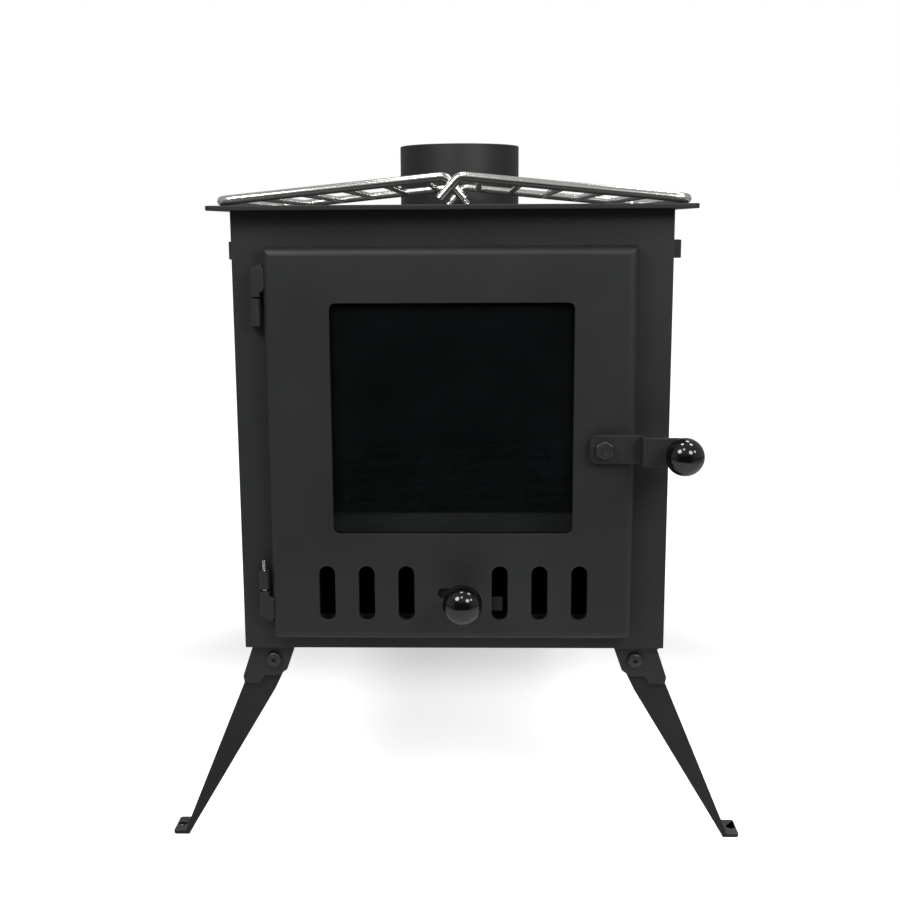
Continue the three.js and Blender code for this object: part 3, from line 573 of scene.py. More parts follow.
def guard_steel(look):
    """The log guard: bare sheet, tinted by heat and lighter than the rest of the inside."""
    base = tuple(look.guard_colour)
    steel = Finish("guard_steel", base, 0.6, 0.3, 0.3)
    stain = steel.noise(24, 5, 0.6, steel.stretched(1, 1, 2)).ramped(0.35, 0.7)
    colour = steel.mixed(stain * 0.5, base, tinted(base, 0.55))
    lines = steel.noise(160, 4, 0.6, steel.stretched(0.1, 1, 2))
    steel.set(Base_Color=colour, Roughness=0.55 + 0.2 * stain, Normal=steel.bump(lines, 0.0002, 0.4))
    return steel.material


def stainless(look):
    """Bright drawn wire with fine lines along it and darker stained patches here and there."""
    base = tuple(look.wire_colour)
    wire = Finish("stainless", base, look.wire_roughness, 1.0, 0.5)
    lines = wire.noise(900, 3, 0.6, wire.stretched(0.2, 0.2, 1))
    stain = wire.noise(70, 4).ramped(0.5, 0.8)
    colour = wire.mixed(stain * 0.35, base, tinted(base, 0.72))
    rough = look.wire_roughness - 0.04 + 0.1 * lines + 0.06 * stain
    wire.set(Base_Color=colour, Roughness=rough, Normal=wire.bump(lines, 0.00003, 0.4))
    return wire.material


def fastener_steel(look):
    """Blackened steel of bolts, nuts and studs."""
    base = tuple(look.fastener_colour)
    steel = Finish("fastener_steel", base, 0.38, 0.3, 0.5)
    rub = steel.noise(600, 4, 0.6).ramped(0.5, 0.75)
    colour = steel.mixed(rub, base, tinted(base, 2.0))
    fine = steel.noise(1500, 2)
    steel.set(Base_Color=colour, Roughness=0.32 + 0.14 * fine, Normal=steel.bump(fine, 0.00005, 0.5))
    return steel.material


def black_ball(look):
    """Polished black moulding with faint dust."""
    base = tuple(look.ball_colour)
    ball = Finish("black_ball", base, look.ball_roughness, 0, 0.5)
    dust = ball.noise(1100, 3, 0.7).ramped(0.62, 0.8)
    smears = ball.noise(160, 4, 0.6)
    colour = ball.mixed(dust * 0.25, base, (0.03, 0.03, 0.03))
    rough = look.ball_roughness + 0.04 * smears + dust * 0.2
    ball.set(Base_Color=colour, Roughness=rough, Normal=ball.bump(smears, 0.00004, 0.25))
    return ball.material


def ceramic_glass(look):
    """Heat-proof glass with a light veil of soot towards its edges."""
    glass = Finish("ceramic_glass", tuple(look.glass_colour), 0.06, 0, 0.05)
    low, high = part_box("door_glass")
    centre = (low + high) / 2
    reach = (high - low) / 2
    across = (glass.axis("X") - centre.x).size() / reach.x
    up = (glass.axis("Z") - centre.z).size() / reach.z
    edge = across.larger(up).ramped(0.55, 0.98)
    smoke = glass.noise(28, 5, 0.6).ramped(0.3, 0.75)
    veil = look.glass_veil + edge * 0.1 + smoke * 0.03
    colour = glass.mixed(smoke, tuple(look.glass_colour), tinted(look.glass_colour, 1.3))
    rough = 0.05 + 0.04 * smoke
    glass.set(Base_Color=colour, Roughness=rough, Alpha=veil.limited())
    glass.material.surface_render_method = "BLENDED"
    return glass.material


def glass_fibre(look):
    """Knitted glass-fibre rope and tape, grey with handling, with painted shade in the hollows of the knit.
    """
    base = tuple(look.fibre_colour)
    fibre = Finish("glass_fibre", base, 0.95, 0, 0.1)
    knit = fibre.cells(620)
    yarn = fibre.noise(2600, 3)
    # Painted shade: darker between the knit's loops, where the bump sinks
    colour = fibre.mixed(knit.ramped(0.1, 0.6), tinted(base, 1.25), tinted(base, 0.55))
    height = 1 - knit + 0.3 * yarn
    fibre.set(Base_Color=colour, Normal=fibre.bump(height, 0.0006, 0.9))
    return fibre.material


FINISHES = {
    finish.__name__: finish for finish in (
        stove_paint, leg_paint, inner_steel, guard_steel, stainless, fastener_steel, black_ball,
        ceramic_glass, glass_fibre,
    )
}


def finish_of(name):
    """The material of a finish, made when it is first asked for."""
    made = bpy.data.materials.get(f"{name}_finish")
    if made is None:
        made = FINISHES[name](bpy.context.scene.stove_finishes)
    return made


def place_piece(piece, finish, node):
    """Gives a piece its finish and sets it on its node's body in the node's place."""
    piece.data.materials.clear()
    piece.data.materials.append(finish_of(finish))
    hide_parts(node)
    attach(piece, body_of(node))


def dress(node, finish, edge):
    """Puts the node's own form in its place, with broken edges and a finish."""
    place_piece(from_frame(f"{node}_piece", node, edge), finish, node)


# ---------- Sizes and colours ----------

def length(name, description, default, low, high):
    return bpy.props.FloatProperty(
        name=name, description=description, default=default, min=low, max=high, unit="LENGTH",
    )


def factor(name, description, default):
    return bpy.props.FloatProperty(
        name=name, description=description, default=default, min=0, max=1, subtype="FACTOR",
    )


def shade_of(name, description, default):
    return bpy.props.FloatVectorProperty(
        name=name, description=description, default=default, min=0, max=1, subtype="COLOR", size=3,
    )


class StoveSizes(bpy.types.PropertyGroup):
    """Sizes of the visible detail."""

    sheet_edge: length("Sheet edge", "Radius on the edges of the sheets", 0.5 * MM, 0.1 * MM, 1 * MM)
    door_edge: length("Door edge", "Radius of the pressed edge round the door", 6 * MM, 4 * MM, 7 * MM)
    hole_edge: length("Hole edge", "Radius on the edges of the door's openings", 0.5 * MM, 0.1 * MM, 1 * MM)
    socket_width: length("Socket width", "Across the hexagon socket of a leg bolt", 3 * MM, 2 * MM, 5 * MM)


class StoveFinishes(bpy.types.PropertyGroup):
    """Colours and sheen of the finishes."""

    paint_colour: shade_of("Paint", "Heat-proof paint of the stove", (0.0112, 0.0126, 0.0120))
    paint_roughness: factor("Paint roughness", "How widely the paint spreads a reflection", 0.5)
    paint_sheen: factor("Paint sheen", "How much light the surface of the paint reflects", 0.34)
    inner_colour: shade_of("Inside steel", "Steel inside the firebox", (0.012, 0.0122, 0.012))
    guard_colour: shade_of("Log guard", "Heat-tinted steel of the log guard", (0.085, 0.0875, 0.085))
    wire_colour: shade_of("Rack wire", "Bright wire of the racks", (0.68, 0.67, 0.64))
    wire_roughness: factor("Wire roughness", "How widely the wire spreads a reflection", 0.16)
    fastener_colour: shade_of("Fasteners", "Blackened bolts and nuts", (0.02, 0.0205, 0.0205))
    ball_colour: shade_of("Ball knobs", "Polished ball knobs", (0.003, 0.003, 0.003))
    ball_roughness: factor("Ball roughness", "How widely a ball knob spreads a reflection", 0.08)
    glass_colour: shade_of("Glass veil colour", "Soot on the window glass", (0.0052, 0.0063, 0.0068))
    glass_veil: factor("Glass veil", "How much the window glass hides", 0.3)
    fibre_colour: shade_of("Glass fibre", "Rope seal and glass gasket", (0.20, 0.19, 0.17))


class StoveStudio(bpy.types.PropertyGroup):
    """The plain studio round the stove."""

    surround: factor("Surround", "Strength of the light from all round", 0.25)
    room: factor("Room", "Brightness of the room in reflections", 0.42)
    lamp_power: bpy.props.FloatProperty(
        name="Ceiling lamps", description="Power of a ceiling lamp with share 1",
        default=1.6, min=0, max=200, unit="POWER",
    )
    lamp_size: length("Lamp size", "Across a ceiling lamp with share 1", 0.2, 0.05, 2)
    floor_glow: factor("Floor glow", "How much lighter the floor near the stove is seen than it is", 0.8)
    floor_colour: shade_of("Floor", "Colour of the floor", (0.8, 0.8, 0.8))


# ---------- Stage ----------

# Compass turn and height of each ceiling lamp from the place that all face, in degrees, and its share
LAMPS = (
    (138, 81, 1), (10, 61, 1), (58, 59, 0.65), (258, 58, 0.65),
    (224, 43, 3), (305, 34, 2.5), (334, 32, 0.65),
)
LAMP_AIM = Vector((0.05, -0.22, 0.23))
LAMP_DISTANCE = 0.9

SCREEN_REACH = 0.6
SCREEN_FOOT = 0.002
SCREEN_SOLID = 0.38
SCREEN_HEIGHT = 0.66

FLOOR_RADIUS = 14

# From the middle of the frame's front to the camera, and how the camera looks, in metres and degrees
CAMERA_ASIDE = 0.0162
CAMERA_BEFORE = 0.7576
CAMERA_HEIGHT = 0.4046
CAMERA_PITCH = 10.43
CAMERA_YAW = -1.352
CAMERA_ROLL = -0.302
CAMERA_LENS = 49.156


def ceiling_lamp(turn, height, share, size, power):
    """A round lamp that faces the stove from a compass turn and a height, both in degrees."""
    data = bpy.data.lights.new("ceiling_lamp", "AREA")
    data.shape = "DISK"
    data.size = size * share ** 0.5
    data.energy = power * share
    lamp = bpy.data.objects.new("ceiling_lamp", data)
    bpy.context.scene.collection.objects.link(lamp)
    towards = Vector((cos(radians(turn)), sin(radians(turn)), tan(radians(height)))).normalized()
    lamp.location = LAMP_AIM + towards * LAMP_DISTANCE
    lamp.rotation_euler = towards.to_track_quat("Z", "Y").to_euler()


def dark_screen():
    """A low dark screen bent round the front of the stove, painted shade that stands for the room's unlit
    side in reflections; it blocks no lamp and the camera skips it.
    """
    form = bmesh.new()
    posts = []
    for turn in range(190, 351, 8):
        x = SCREEN_REACH * cos(radians(turn))
        y = LAMP_AIM.y + SCREEN_REACH * sin(radians(turn))
        posts.append([form.verts.new((x, y, z)) for z in (SCREEN_FOOT, SCREEN_HEIGHT)])
    for before, here in zip(posts, posts[1:]):
        form.faces.new((before[0], here[0], here[1], before[1]))
    screen = form_object("dark_screen", form)
    screen.visible_camera = False
    screen.visible_shadow = False
    return screen


def screen_finish():
    """Dark matt sheet, painted shade in reflections, that thins out towards its top and its two ends."""
    cloth = Finish("dark_screen", (0.03, 0.03, 0.03), 0.9, 0, 0)
    top = cloth.axis("Z").ramped(SCREEN_SOLID, SCREEN_HEIGHT)
    side = cloth.axis("X").size().ramped(0.55 * SCREEN_REACH, 0.98 * SCREEN_REACH)
    clear = cloth.node("ShaderNodeBsdfTransparent")
    shaders = {1: cloth.shader.outputs[0], 2: clear.outputs[0]}
    mix = cloth.node("ShaderNodeMixShader", inputs={"Fac": top.larger(side), **shaders})
    cloth.feed(cloth.output.inputs["Surface"], mix.outputs[0])
    return cloth.material


def floor_form():
    """A wide round floor just under the feet."""
    form = bmesh.new()
    bmesh.ops.create_circle(form, cap_ends=True, segments=96, radius=FLOOR_RADIUS)
    return form_object("studio_floor", form)


def floor_finish(colour, glow):
    """Pale matt floor that looks lighter than it is, least so under the back of the stove."""
    floor = Finish("studio_floor", tuple(colour), 0.9, 0, 0.0)
    x = floor.axis("X")
    y = floor.axis("Y")
    distance = (x * x + y * y) ** 0.5
    # Painted shadow: the glow is weaker under the back of the stove, so its shadow there shows darker
    near = glow * (1 - 0.42 * y.ramped(0.05, 0.21))
    level = near + (1 - near) * distance.ramped(0.28, 0.5)
    floor.set(Emission_Color=level * floor.seen(), Emission_Strength=1)
    return floor.material


def surround(strength, room):
    """White to look at, the room's grey in reflections, a softer light on what stands in it."""
    world = bpy.data.worlds.new("studio_surround")
    sky = Nodes(world)
    mirrored = sky.light_path("Is Glossy Ray")
    level = strength + (1 - strength) * sky.seen() + (room - strength) * mirrored
    background = sky.node("ShaderNodeBackground", inputs={"Color": (1, 1, 1, 1), "Strength": level})
    sky.node("ShaderNodeOutputWorld", inputs={"Surface": background.outputs[0]})
    return world


def camera():
    """The photograph's view: a little right of the middle, level with the racks, looking slightly down."""
    data = bpy.data.cameras.new("camera")
    data.sensor_width = 36
    data.sensor_fit = "HORIZONTAL"
    data.lens = CAMERA_LENS
    data.clip_start = 0.01
    data.clip_end = 60
    seen = bpy.data.objects.new("camera", data)
    bpy.context.scene.collection.objects.link(seen)
    pitch, yaw, roll = (radians(turn) for turn in (CAMERA_PITCH, CAMERA_YAW, CAMERA_ROLL))
    ahead = Vector((sin(yaw) * cos(pitch), cos(yaw) * cos(pitch), -sin(pitch)))
    right = ahead.cross(Vector((0, 0, 1))).normalized()
    up = right.cross(ahead)
    level_right = right * cos(roll) + up * sin(roll)
    level_up = up * cos(roll) - right * sin(roll)
    turn = Matrix((level_right, level_up, -ahead)).transposed().to_4x4()
    place = Vector((CAMERA_ASIDE, span("front_frame", 1)[0] - CAMERA_BEFORE, CAMERA_HEIGHT))
    seen.matrix_world = Matrix.Translation(place) @ turn
    bpy.context.scene.camera = seen


class STOVE_OT_stage(bpy.types.Operator):
    """Floor, surround, lamps and camera"""

    bl_idname = "stove.stage"
    bl_label = "Stage"

    def execute(self, context):
        studio = context.scene.stove_studio
        floor = floor_form()
        floor.data.materials.append(floor_finish(studio.floor_colour, studio.floor_glow))
        screen = dark_screen()
        screen.data.materials.append(screen_finish())
        context.scene.world = surround(studio.surround, studio.room)
        for turn, height, share in LAMPS:
            ceiling_lamp(turn, height, share, studio.lamp_size, studio.lamp_power)
        context.scene.view_settings.view_transform = "Standard"
        camera()
        return {"FINISHED"}


# ---------- Firebox ----------

WELD = 2.5 * MM
COLLAR_SHEET = 2 * MM


class STOVE_OT_firebox(bpy.types.Operator):
    """Front frame, walls, floor and top plate"""

    bl_idname = "stove.firebox"
    bl_label = "Firebox"

    def execute(self, context):
        edge = context.scene.stove_sizes.sheet_edge
        for node in ("front_frame", "side_wall_left", "side_wall_right", "back_wall", "firebox_floor"):
            dress(node, "stove_paint", edge)
        low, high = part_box("top_plate")
        collar = middle("flue_collar")
        bore = (span("flue_collar", 0)[1] - collar.x) - WELD - COLLAR_SHEET
        outline = rounded_ring(low.x, high.x, low.y, high.y, 6 * MM)
        hole = circle_ring(collar.x, collar.y, bore, 96)
        plate = flat_sheet("top_plate_piece", outline, [hole], low.z, high.z, 0.6 * MM, lying)
        shade(plate)
        place_piece(plate, "stove_paint", "top_plate")
        return {"FINISHED"}


class STOVE_OT_flue(bpy.types.Operator):
    """Flue collar with its weld"""

    bl_idname = "stove.flue"
    bl_label = "Flue collar"

    def execute(self, context):
        low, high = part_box("flue_collar")
        centre = middle("flue_collar") * Vector((1, 1, 0))
        foot = (high.x - low.x) / 2
        outer = foot - WELD
        inner = outer - COLLAR_SHEET
        profile = [(inner, low.z), (foot, low.z)]
        for turn in turns(15, 75, 4):
            profile.append((foot - WELD * sin(turn), low.z + WELD * (1 - cos(turn))))
        profile.append((outer, low.z + WELD))
        rim = rounding(0.6 * MM, 0, 0)[:4]
        profile += [(outer - inset, high.z - depth) for inset, depth in reversed(rim)]
        profile += [(inner + inset, high.z - depth) for inset, depth in rim]
        collar = turned("flue_collar_piece", profile, centre, 128, "Z")
        shade(collar)
        place_piece(collar, "stove_paint", "flue_collar")
        return {"FINISHED"}


class STOVE_OT_inside(bpy.types.Operator):
    """Ledge, grate, log guard and smoke baffle"""

    bl_idname = "stove.inside"
    bl_label = "Inside"

    def execute(self, context):
        for node in ("grate_ledge", "fire_grate", "baffle_plate"):
            dress(node, "inner_steel", 0.4 * MM)
        dress("log_guard", "guard_steel", 0.4 * MM)
        return {"FINISHED"}


# ---------- Door ----------

DOOR_SHEET = 2.5 * MM
DOOR_DEPTH = 10 * MM
DOOR_LIP = 0.4 * MM
GLASS_LAP = 7 * MM
SLOT_RISE = 13.1 * MM
SLOT_HEIGHT = 35.4 * MM
SLOT_HALF = 5 * MM
SLOT_PLACES = (29.4 * MM, 54.4 * MM, 79.4 * MM)
KNOB_SLOT_HALF = 3.35 * MM
KNOB_SLOT_REACH = 9.6 * MM
SLIDE_PIN_PLACES = (-66.9 * MM, 66.9 * MM)
GLASS_NUTS = ("glass_nut_low_left", "glass_nut_low_right", "glass_nut_high_left", "glass_nut_high_right")


def slot_rings():
    """The six air slots and the knob's slot of the door, as rings in x and z."""
    bottom = span("door_panel", 2)[0] + SLOT_RISE
    top = bottom + SLOT_HEIGHT
    rings = []
    for x in SLOT_PLACES:
        for centre in (x, -x):
            rings.append(rounded_ring(centre - SLOT_HALF, centre + SLOT_HALF, bottom, top, SLOT_HALF))
    centre = (bottom + top) / 2
    rings.append(rounded_ring(
        -KNOB_SLOT_REACH, KNOB_SLOT_REACH, centre - KNOB_SLOT_HALF, centre + KNOB_SLOT_HALF, KNOB_SLOT_HALF,
    ))
    return rings


def door_panel(sizes):
    """The dished panel: rounded edges that meet in mitres, folded rim, window and slots."""
    low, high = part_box("door_panel")
    front = low.y
    back = front + DOOR_DEPTH
    edge = sizes.door_edge
    inner = edge - DOOR_SHEET
    near_lip = 0.3 * DOOR_LIP
    corner = 3 * MM
    rim = 0.5 * MM
    # Inset, depth and corner radius: over the front edge, round the lip, and back along the inside
    profile = []
    for turn in turns(0, 90, 12):
        radius = 0.4 * MM + 2.6 * MM * sin(turn) ** 2
        profile.append((edge * (1 - sin(turn)), front + edge * (1 - cos(turn)), radius))
    profile += [
        (0, back - DOOR_LIP, corner), (near_lip, back - near_lip, corner), (DOOR_LIP, back, 2.6 * MM),
        (DOOR_SHEET - DOOR_LIP, back, rim), (DOOR_SHEET - near_lip, back - near_lip, rim),
        (DOOR_SHEET, back - DOOR_LIP, rim),
    ]
    for turn in turns(0, 90, 7):
        depth = front + DOOR_SHEET + inner * (1 - sin(turn))
        profile.append((DOOR_SHEET + inner * (1 - cos(turn)), depth, rim))
    outside = []
    for inset, depth, radius in profile:
        ring = rounded_ring(low.x + inset, high.x - inset, low.z + inset, high.z - inset, radius)
        outside.append((ring, depth))
    left, right = span("door_glass", 0)
    lowest, highest = span("door_glass", 2)
    window = rounded_ring(
        left + GLASS_LAP, right - GLASS_LAP, lowest + GLASS_LAP, highest - GLASS_LAP, 4 * MM,
    )
    bolt = middle("latch_washer")
    hole = circle_ring(bolt.x, bolt.z, 3.4 * MM, 32)
    openings = [window, hole] + slot_rings()
    holes = rounding(sizes.hole_edge, front, front + DOOR_SHEET)
    return pressed_sheet("door_panel_piece", outside, openings, holes, facing_front)


def glass_stud(name, x, z, start, end):
    """A plain stud along y with a chamfered end."""
    radius = 2 * MM
    tip = 0.4 * MM
    profile = [(0, start), (radius, start), (radius, end - tip), (radius - tip, end), (0, end)]
    return turned(name, profile, Vector((x, 0, z)), 24)


def slide_pin(x, z, start, front):
    """A pin along y with a flat head that starts at front."""
    radius = 1.5 * MM
    width = 3 * MM
    back = front + 1.5 * MM
    break_in = 0.2 * MM
    break_out = 0.3 * MM
    profile = [
        (0, start), (radius, start), (radius, front), (width - break_in, front),
        (width, front + break_in), (width, back - break_out), (width - break_out, back), (0, back),
    ]
    return turned("slide_pin", profile, Vector((x, 0, z)), 24)


def door_back_fixings():
    """Studs that clamp the glass, and headed pins that guide the slide."""
    low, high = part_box("door_panel")
    root = low.y + DOOR_SHEET - 0.3 * MM
    fixings = []
    for node in GLASS_NUTS:
        spot = middle(node)
        fixings.append(glass_stud(f"{node}_stud", spot.x, spot.z, root, high.y))
    height = span("air_slide", 2)[1] - 4 * MM
    head_front = span("air_slide", 1)[1] + 0.3 * MM
    return fixings + [slide_pin(x, height, root, head_front) for x in SLIDE_PIN_PLACES]


class STOVE_OT_door(bpy.types.Operator):
    """Door panel, window glass, gasket, retainer, nuts and rope seal"""

    bl_idname = "stove.door"
    bl_label = "Door"

    def execute(self, context):
        sizes = context.scene.stove_sizes
        panel = joined("door_panel_piece", [door_panel(sizes)] + door_back_fixings())
        place_piece(panel, "stove_paint", "door_panel")
        dress("glass_gasket", "glass_fibre", 0.3 * MM)
        dress("door_glass", "ceramic_glass", 0.4 * MM)
        dress("glass_retainer", "inner_steel", 0.3 * MM)
        for node in GLASS_NUTS:
            dress(node, "fastener_steel", 0.3 * MM)
        dress("door_rope_seal", "glass_fibre", 0)
        return {"FINISHED"}


# ---------- Ball knobs, slide and latch ----------

def ball(node, bore, flat):
    """A ball with a flat and a bore towards the stove."""
    depth = 0.3 * MM
    low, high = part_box(node)
    radius = (high.x - low.x) / 2
    centre = axle(node) + Vector((0, low.y + radius, 0))
    start = asin(flat / radius)
    profile = [(0, -depth), (bore, -depth), (bore, radius * cos(start))]
    for turn in turns(degrees(start), 180, 40)[:-1]:
        profile.append((radius * sin(turn), radius * cos(turn)))
    profile.append((0, -radius))
    piece = turned(f"{node}_piece", profile, centre, 72)
    shade(piece)
    place_piece(piece, "black_ball", node)


class STOVE_OT_air_slide(bpy.types.Operator):
    """Air slide with its stud, nut and ball knob"""

    bl_idname = "stove.air_slide"
    bl_label = "Air slide"

    def execute(self, context):
        dress("air_slide", "inner_steel", 0.25 * MM)
        dress("air_knob_stud", "fastener_steel", 0.2 * MM)
        dress("air_stud_nut", "fastener_steel", 0.3 * MM)
        ball("air_ball_knob", 3.05 * MM, 4.25 * MM)
        return {"FINISHED"}


def latch_bar():
    """The latch's strap: a pivot end with rounded corners, a tight joggle and a proud round end."""
    low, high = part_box("latch_bar")
    thick = 3 * MM
    half = (high.z - low.z) / 2
    height = (high.z + low.z) / 2
    inner_y = high.y - thick / 2
    outer_y = low.y + thick / 2
    bolt = middle("latch_washer")
    joggle = bolt.x + 21.8 * MM + thick / 2
    corner = 4.5 * MM

    def at(x, y):
        return Vector((x, y, height))

    # Places along the strap, each with how high it reaches there
    stations = []
    for turn in turns(0, 90, 6):
        spot = at(low.x + corner * (1 - cos(turn)), inner_y)
        stations.append((spot, half - corner * (1 - sin(turn))))
    knees = [
        at(low.x + corner, inner_y), at(joggle, inner_y), at(joggle, outer_y), at(high.x - half, outer_y),
    ]
    stations += [(spot, half) for spot in bent_path(knees, [2 * MM, 2 * MM], 8)[1:-1]]
    for turn in turns(90, 6, 14):
        stations.append((at(high.x - half * (1 - cos(turn)), outer_y), half * sin(turn)))
    form = bmesh.new()
    loops = []
    edge = 0.45 * MM
    for i, (spot, reach) in enumerate(stations):
        before = stations[max(i - 1, 0)][0]
        after = stations[min(i + 1, len(stations) - 1)][0]
        ahead = (after - before).normalized()
        side = Vector((ahead.y, -ahead.x, 0))
        ring = rounded_ring(-thick / 2, thick / 2, -reach, reach, edge, 3)
        loops.append([form.verts.new(spot + side * u + Vector((0, 0, v))) for u, v in ring])
    bar = capped_object("latch_bar_piece", form, loops)
    bore = 3.3 * MM
    for x, y in ((bolt.x, inner_y), (middle("latch_ball_knob").x, outer_y)):
        profile = [(0, y - thick), (bore, y - thick), (bore, y + thick), (0, y + thick)]
        carve(bar, turned("bore", profile, Vector((x, 0, height)), 32))
    shade(bar, 30)
    return bar


def latch_bolt():
    """A bolt along y with a chamfered hexagon head towards -y."""
    low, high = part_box("latch_bolt")
    corner = hexagon(10 * MM)
    chamfer = 4.75 * MM
    top = low.y
    under = top + 4 * MM
    shank = 3 * MM
    broken = 0.15 * MM
    tip = 0.5 * MM

    def crown(turn):
        return top + max(0.0, corner(turn) - chamfer) * tan(radians(30))

    profile = [
        (0, top), (chamfer, top), (corner, crown), (corner, under - broken),
        (lambda turn: corner(turn) - broken, under), (shank, under),
        (shank, high.y - tip), (shank - tip, high.y), (0, high.y),
    ]
    bolt = turned("latch_bolt_piece", profile, axle("latch_bolt"), 72)
    shade(bolt, 20)
    return bolt


class STOVE_OT_latch(bpy.types.Operator):
    """Latch bar, bolt, tongue, spacers and ball knob"""

    bl_idname = "stove.latch"
    bl_label = "Latch"

    def execute(self, context):
        place_piece(latch_bar(), "stove_paint", "latch_bar")
        dress("latch_washer", "fastener_steel", 0.3 * MM)
        dress("latch_spacer", "fastener_steel", 0.3 * MM)
        dress("latch_tongue", "inner_steel", 0.4 * MM)
        place_piece(latch_bolt(), "fastener_steel", "latch_bolt")
        dress("latch_nut", "fastener_steel", 0.4 * MM)
        dress("latch_knob_stud", "fastener_steel", 0.3 * MM)
        ball("latch_ball_knob", 3.3 * MM, 4.5 * MM)
        return {"FINISHED"}


def hinge_ear(place):
    """A door ear with the weld bead that runs down its joint with the door's edge."""
    node = f"hinge_ear_{place}"
    low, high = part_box(node)
    ear = from_frame(f"{node}_leaf", node, 0.3 * MM)
    x = span("door_panel", 0)[0] - 0.1 * MM
    y = low.y + 0.9 * MM
    clear, notch = 2 * MM, 4 * MM
    start, end = (low.z + notch, high.z - clear) if place == "upper" else (low.z + clear, high.z - notch)
    path = [Vector((x, y, start + (end - start) * i / 12)) for i in range(13)]
    bead = wire_form(f"{node}_bead", path, 1.3 * MM, 16, 0.8 * MM)
    return joined(f"{node}_piece", [ear, bead])


class STOVE_OT_hinges(bpy.types.Operator):
    """Hinge ears, brackets and pins"""

    bl_idname = "stove.hinges"
    bl_label = "Hinges"

    def execute(self, context):
        for place, pin in (("upper", "fastener_steel"), ("lower", "stainless")):
            node = f"hinge_ear_{place}"
            place_piece(hinge_ear(place), "stove_paint", node)
            dress(f"hinge_bracket_{place}", "stove_paint", 0.3 * MM)
            dress(f"hinge_pin_{place}", pin, 0.3 * MM)
        return {"FINISHED"}


# ---------- Racks ----------

CORNERS = ("front_left", "front_right", "back_left", "back_right")


def wire_rack(side, node):
    """One rack: a bent frame wire with hooked ends, and bars welded between its long wires."""
    low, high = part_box(node)
    radius = 3 * MM
    bar = 2.25 * MM
    bar_pitch = 25.7 * MM
    front = low.y + radius
    back = high.y - radius
    outer = side * 145 * MM
    bend = side * 4.5 * MM
    hook = side * -7.8 * MM
    plate = span("top_plate", 2)[1]
    rest = plate + radius + 0.3 * MM
    rise = plate + 17.3 * MM
    corners = [
        Vector((hook, front, rest)), Vector((bend, front, rise)), Vector((outer, front, rest)),
        Vector((outer, back, rest)), Vector((bend, back, rise)), Vector((hook, back, rest)),
    ]
    path = bent_path(corners, [3.6 * MM, 9 * MM, 9 * MM, 3.6 * MM], 12)
    parts = [wire_form(f"{node}_frame", path, radius)]
    slope = (rise - rest) / abs(outer - bend)
    for i in range(1, 6):
        from_outer = i * bar_pitch
        x = outer - side * from_outer
        z = rest + slope * from_outer - (radius - bar)
        ends = [Vector((x, front + 1.5 * MM, z)), Vector((x, back - 1.5 * MM, z))]
        parts.append(wire_form(f"{node}_bar_{i}", ends, bar, 20))
        for y in (front + 2.2 * MM, back - 2.2 * MM):
            parts.append(weld_blob(f"{node}_weld", Vector((x, y, z)), (2.9 * MM, 1.7 * MM, 2.2 * MM)))
    return joined(f"{node}_piece", parts)


class STOVE_OT_racks(bpy.types.Operator):
    """Wire racks laid on the top plate"""

    bl_idname = "stove.racks"
    bl_label = "Racks"

    def execute(self, context):
        for side, node in ((-1, "rack_left"), (1, "rack_right")):
            place_piece(wire_rack(side, node), "stainless", node)
        return {"FINISHED"}


class STOVE_OT_rack_sockets(bpy.types.Operator):
    """Sockets for the racks on the side walls"""

    bl_idname = "stove.rack_sockets"
    bl_label = "Rack sockets"

    def execute(self, context):
        for corner in CORNERS:
            dress(f"rack_socket_{corner}", "stove_paint", 0.4 * MM)
        return {"FINISHED"}


# ---------- Legs ----------

def button_bolt(node, inward, socket):
    """A button-headed bolt with a hexagon socket; inward is 1 when it points to the back, else -1."""
    low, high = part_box(node)
    wide = (high.x - low.x) / 2
    top, end = (low.y, high.y) if inward > 0 else (high.y, low.y)
    recess = hexagon(socket)
    flat = 3.2 * MM
    head = inward * 3.2 * MM
    dome = inward * 2.6 * MM
    shank = 3 * MM
    tip = 0.5 * MM
    profile = [
        (0, top + inward * 2 * MM), (recess, top + inward * 1.9 * MM), (recess, top + inward * 0.15 * MM),
        (lambda turn: recess(turn) + 0.2 * MM, top),
    ]
    for turn in turns(0, 90, 8):
        profile.append((flat + (wide - flat) * sin(turn), top + dome * (1 - cos(turn))))
    profile += [(wide, top + head), (shank, top + head)]
    profile += [(shank, end - inward * tip), (shank - tip, end), (0, end)]
    bolt = turned(f"{node}_piece", profile, axle(node), 48)
    shade(bolt, 32)
    return bolt


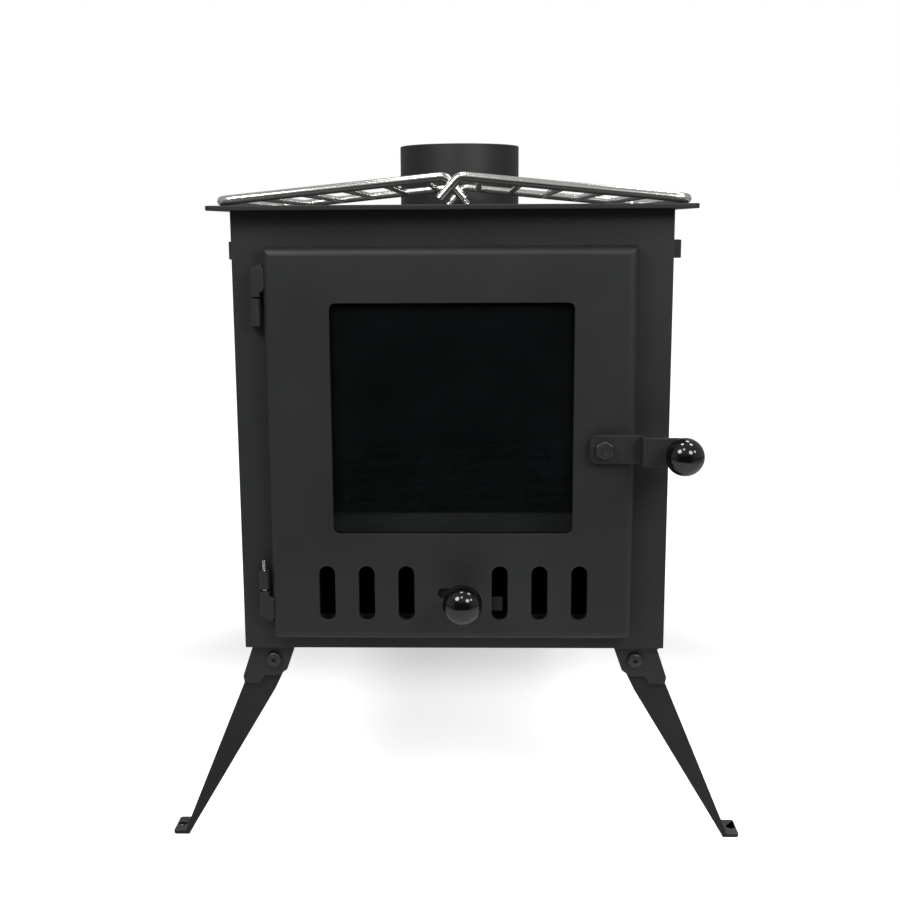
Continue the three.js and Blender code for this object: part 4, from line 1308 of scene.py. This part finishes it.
class STOVE_OT_legs(bpy.types.Operator):
    """Leg brackets, folding legs, bolts and nuts"""

    bl_idname = "stove.legs"
    bl_label = "Legs"

    def execute(self, context):
        sizes = context.scene.stove_sizes
        for corner in CORNERS:
            dress(f"leg_bracket_{corner}", "stove_paint", 0.4 * MM)
            dress(f"leg_{corner}", "leg_paint", 0.4 * MM)
            node = f"leg_bolt_{corner}"
            inward = 1 if corner.startswith("front") else -1
            place_piece(button_bolt(node, inward, sizes.socket_width), "fastener_steel", node)
            dress(f"leg_nut_{corner}", "fastener_steel", 0.4 * MM)
        return {"FINISHED"}


# ---------- Panel and run ----------

OPERATORS = (
    STOVE_OT_stage, STOVE_OT_firebox, STOVE_OT_flue, STOVE_OT_inside, STOVE_OT_door, STOVE_OT_air_slide,
    STOVE_OT_latch, STOVE_OT_hinges, STOVE_OT_racks, STOVE_OT_rack_sockets, STOVE_OT_legs,
)
GROUPS = {"stove_sizes": StoveSizes, "stove_finishes": StoveFinishes, "stove_studio": StoveStudio}


class STOVE_PT_panel(bpy.types.Panel):
    """Lists the stove's pieces, sizes and colours"""

    bl_idname = "STOVE_PT_panel"
    bl_label = "Tent wood stove"
    bl_space_type = "VIEW_3D"
    bl_region_type = "UI"
    bl_category = "Stove"

    def draw(self, context):
        column = self.layout.column(align=True)
        for operator in OPERATORS:
            column.operator(operator.bl_idname)
        for name in GROUPS:
            group = getattr(context.scene, name)
            box = self.layout.box()
            for value in group.__annotations__:
                box.prop(group, value)


CLASSES = (*GROUPS.values(), *OPERATORS, STOVE_PT_panel)


def register():
    for part in CLASSES:
        bpy.utils.register_class(part)
    for name, group in GROUPS.items():
        setattr(bpy.types.Scene, name, bpy.props.PointerProperty(type=group))


def unregister():
    for name in GROUPS:
        delattr(bpy.types.Scene, name)
    for part in reversed(CLASSES):
        bpy.utils.unregister_class(part)


def main():
    register()
    bpy.ops.stove.stage()
    bpy.ops.stove.firebox()
    bpy.ops.stove.flue()
    bpy.ops.stove.inside()
    bpy.ops.stove.door()
    bpy.ops.stove.air_slide()
    bpy.ops.stove.latch()
    bpy.ops.stove.hinges()
    bpy.ops.stove.racks()
    bpy.ops.stove.rack_sockets()
    bpy.ops.stove.legs()


if __name__ == "__main__":
    main()
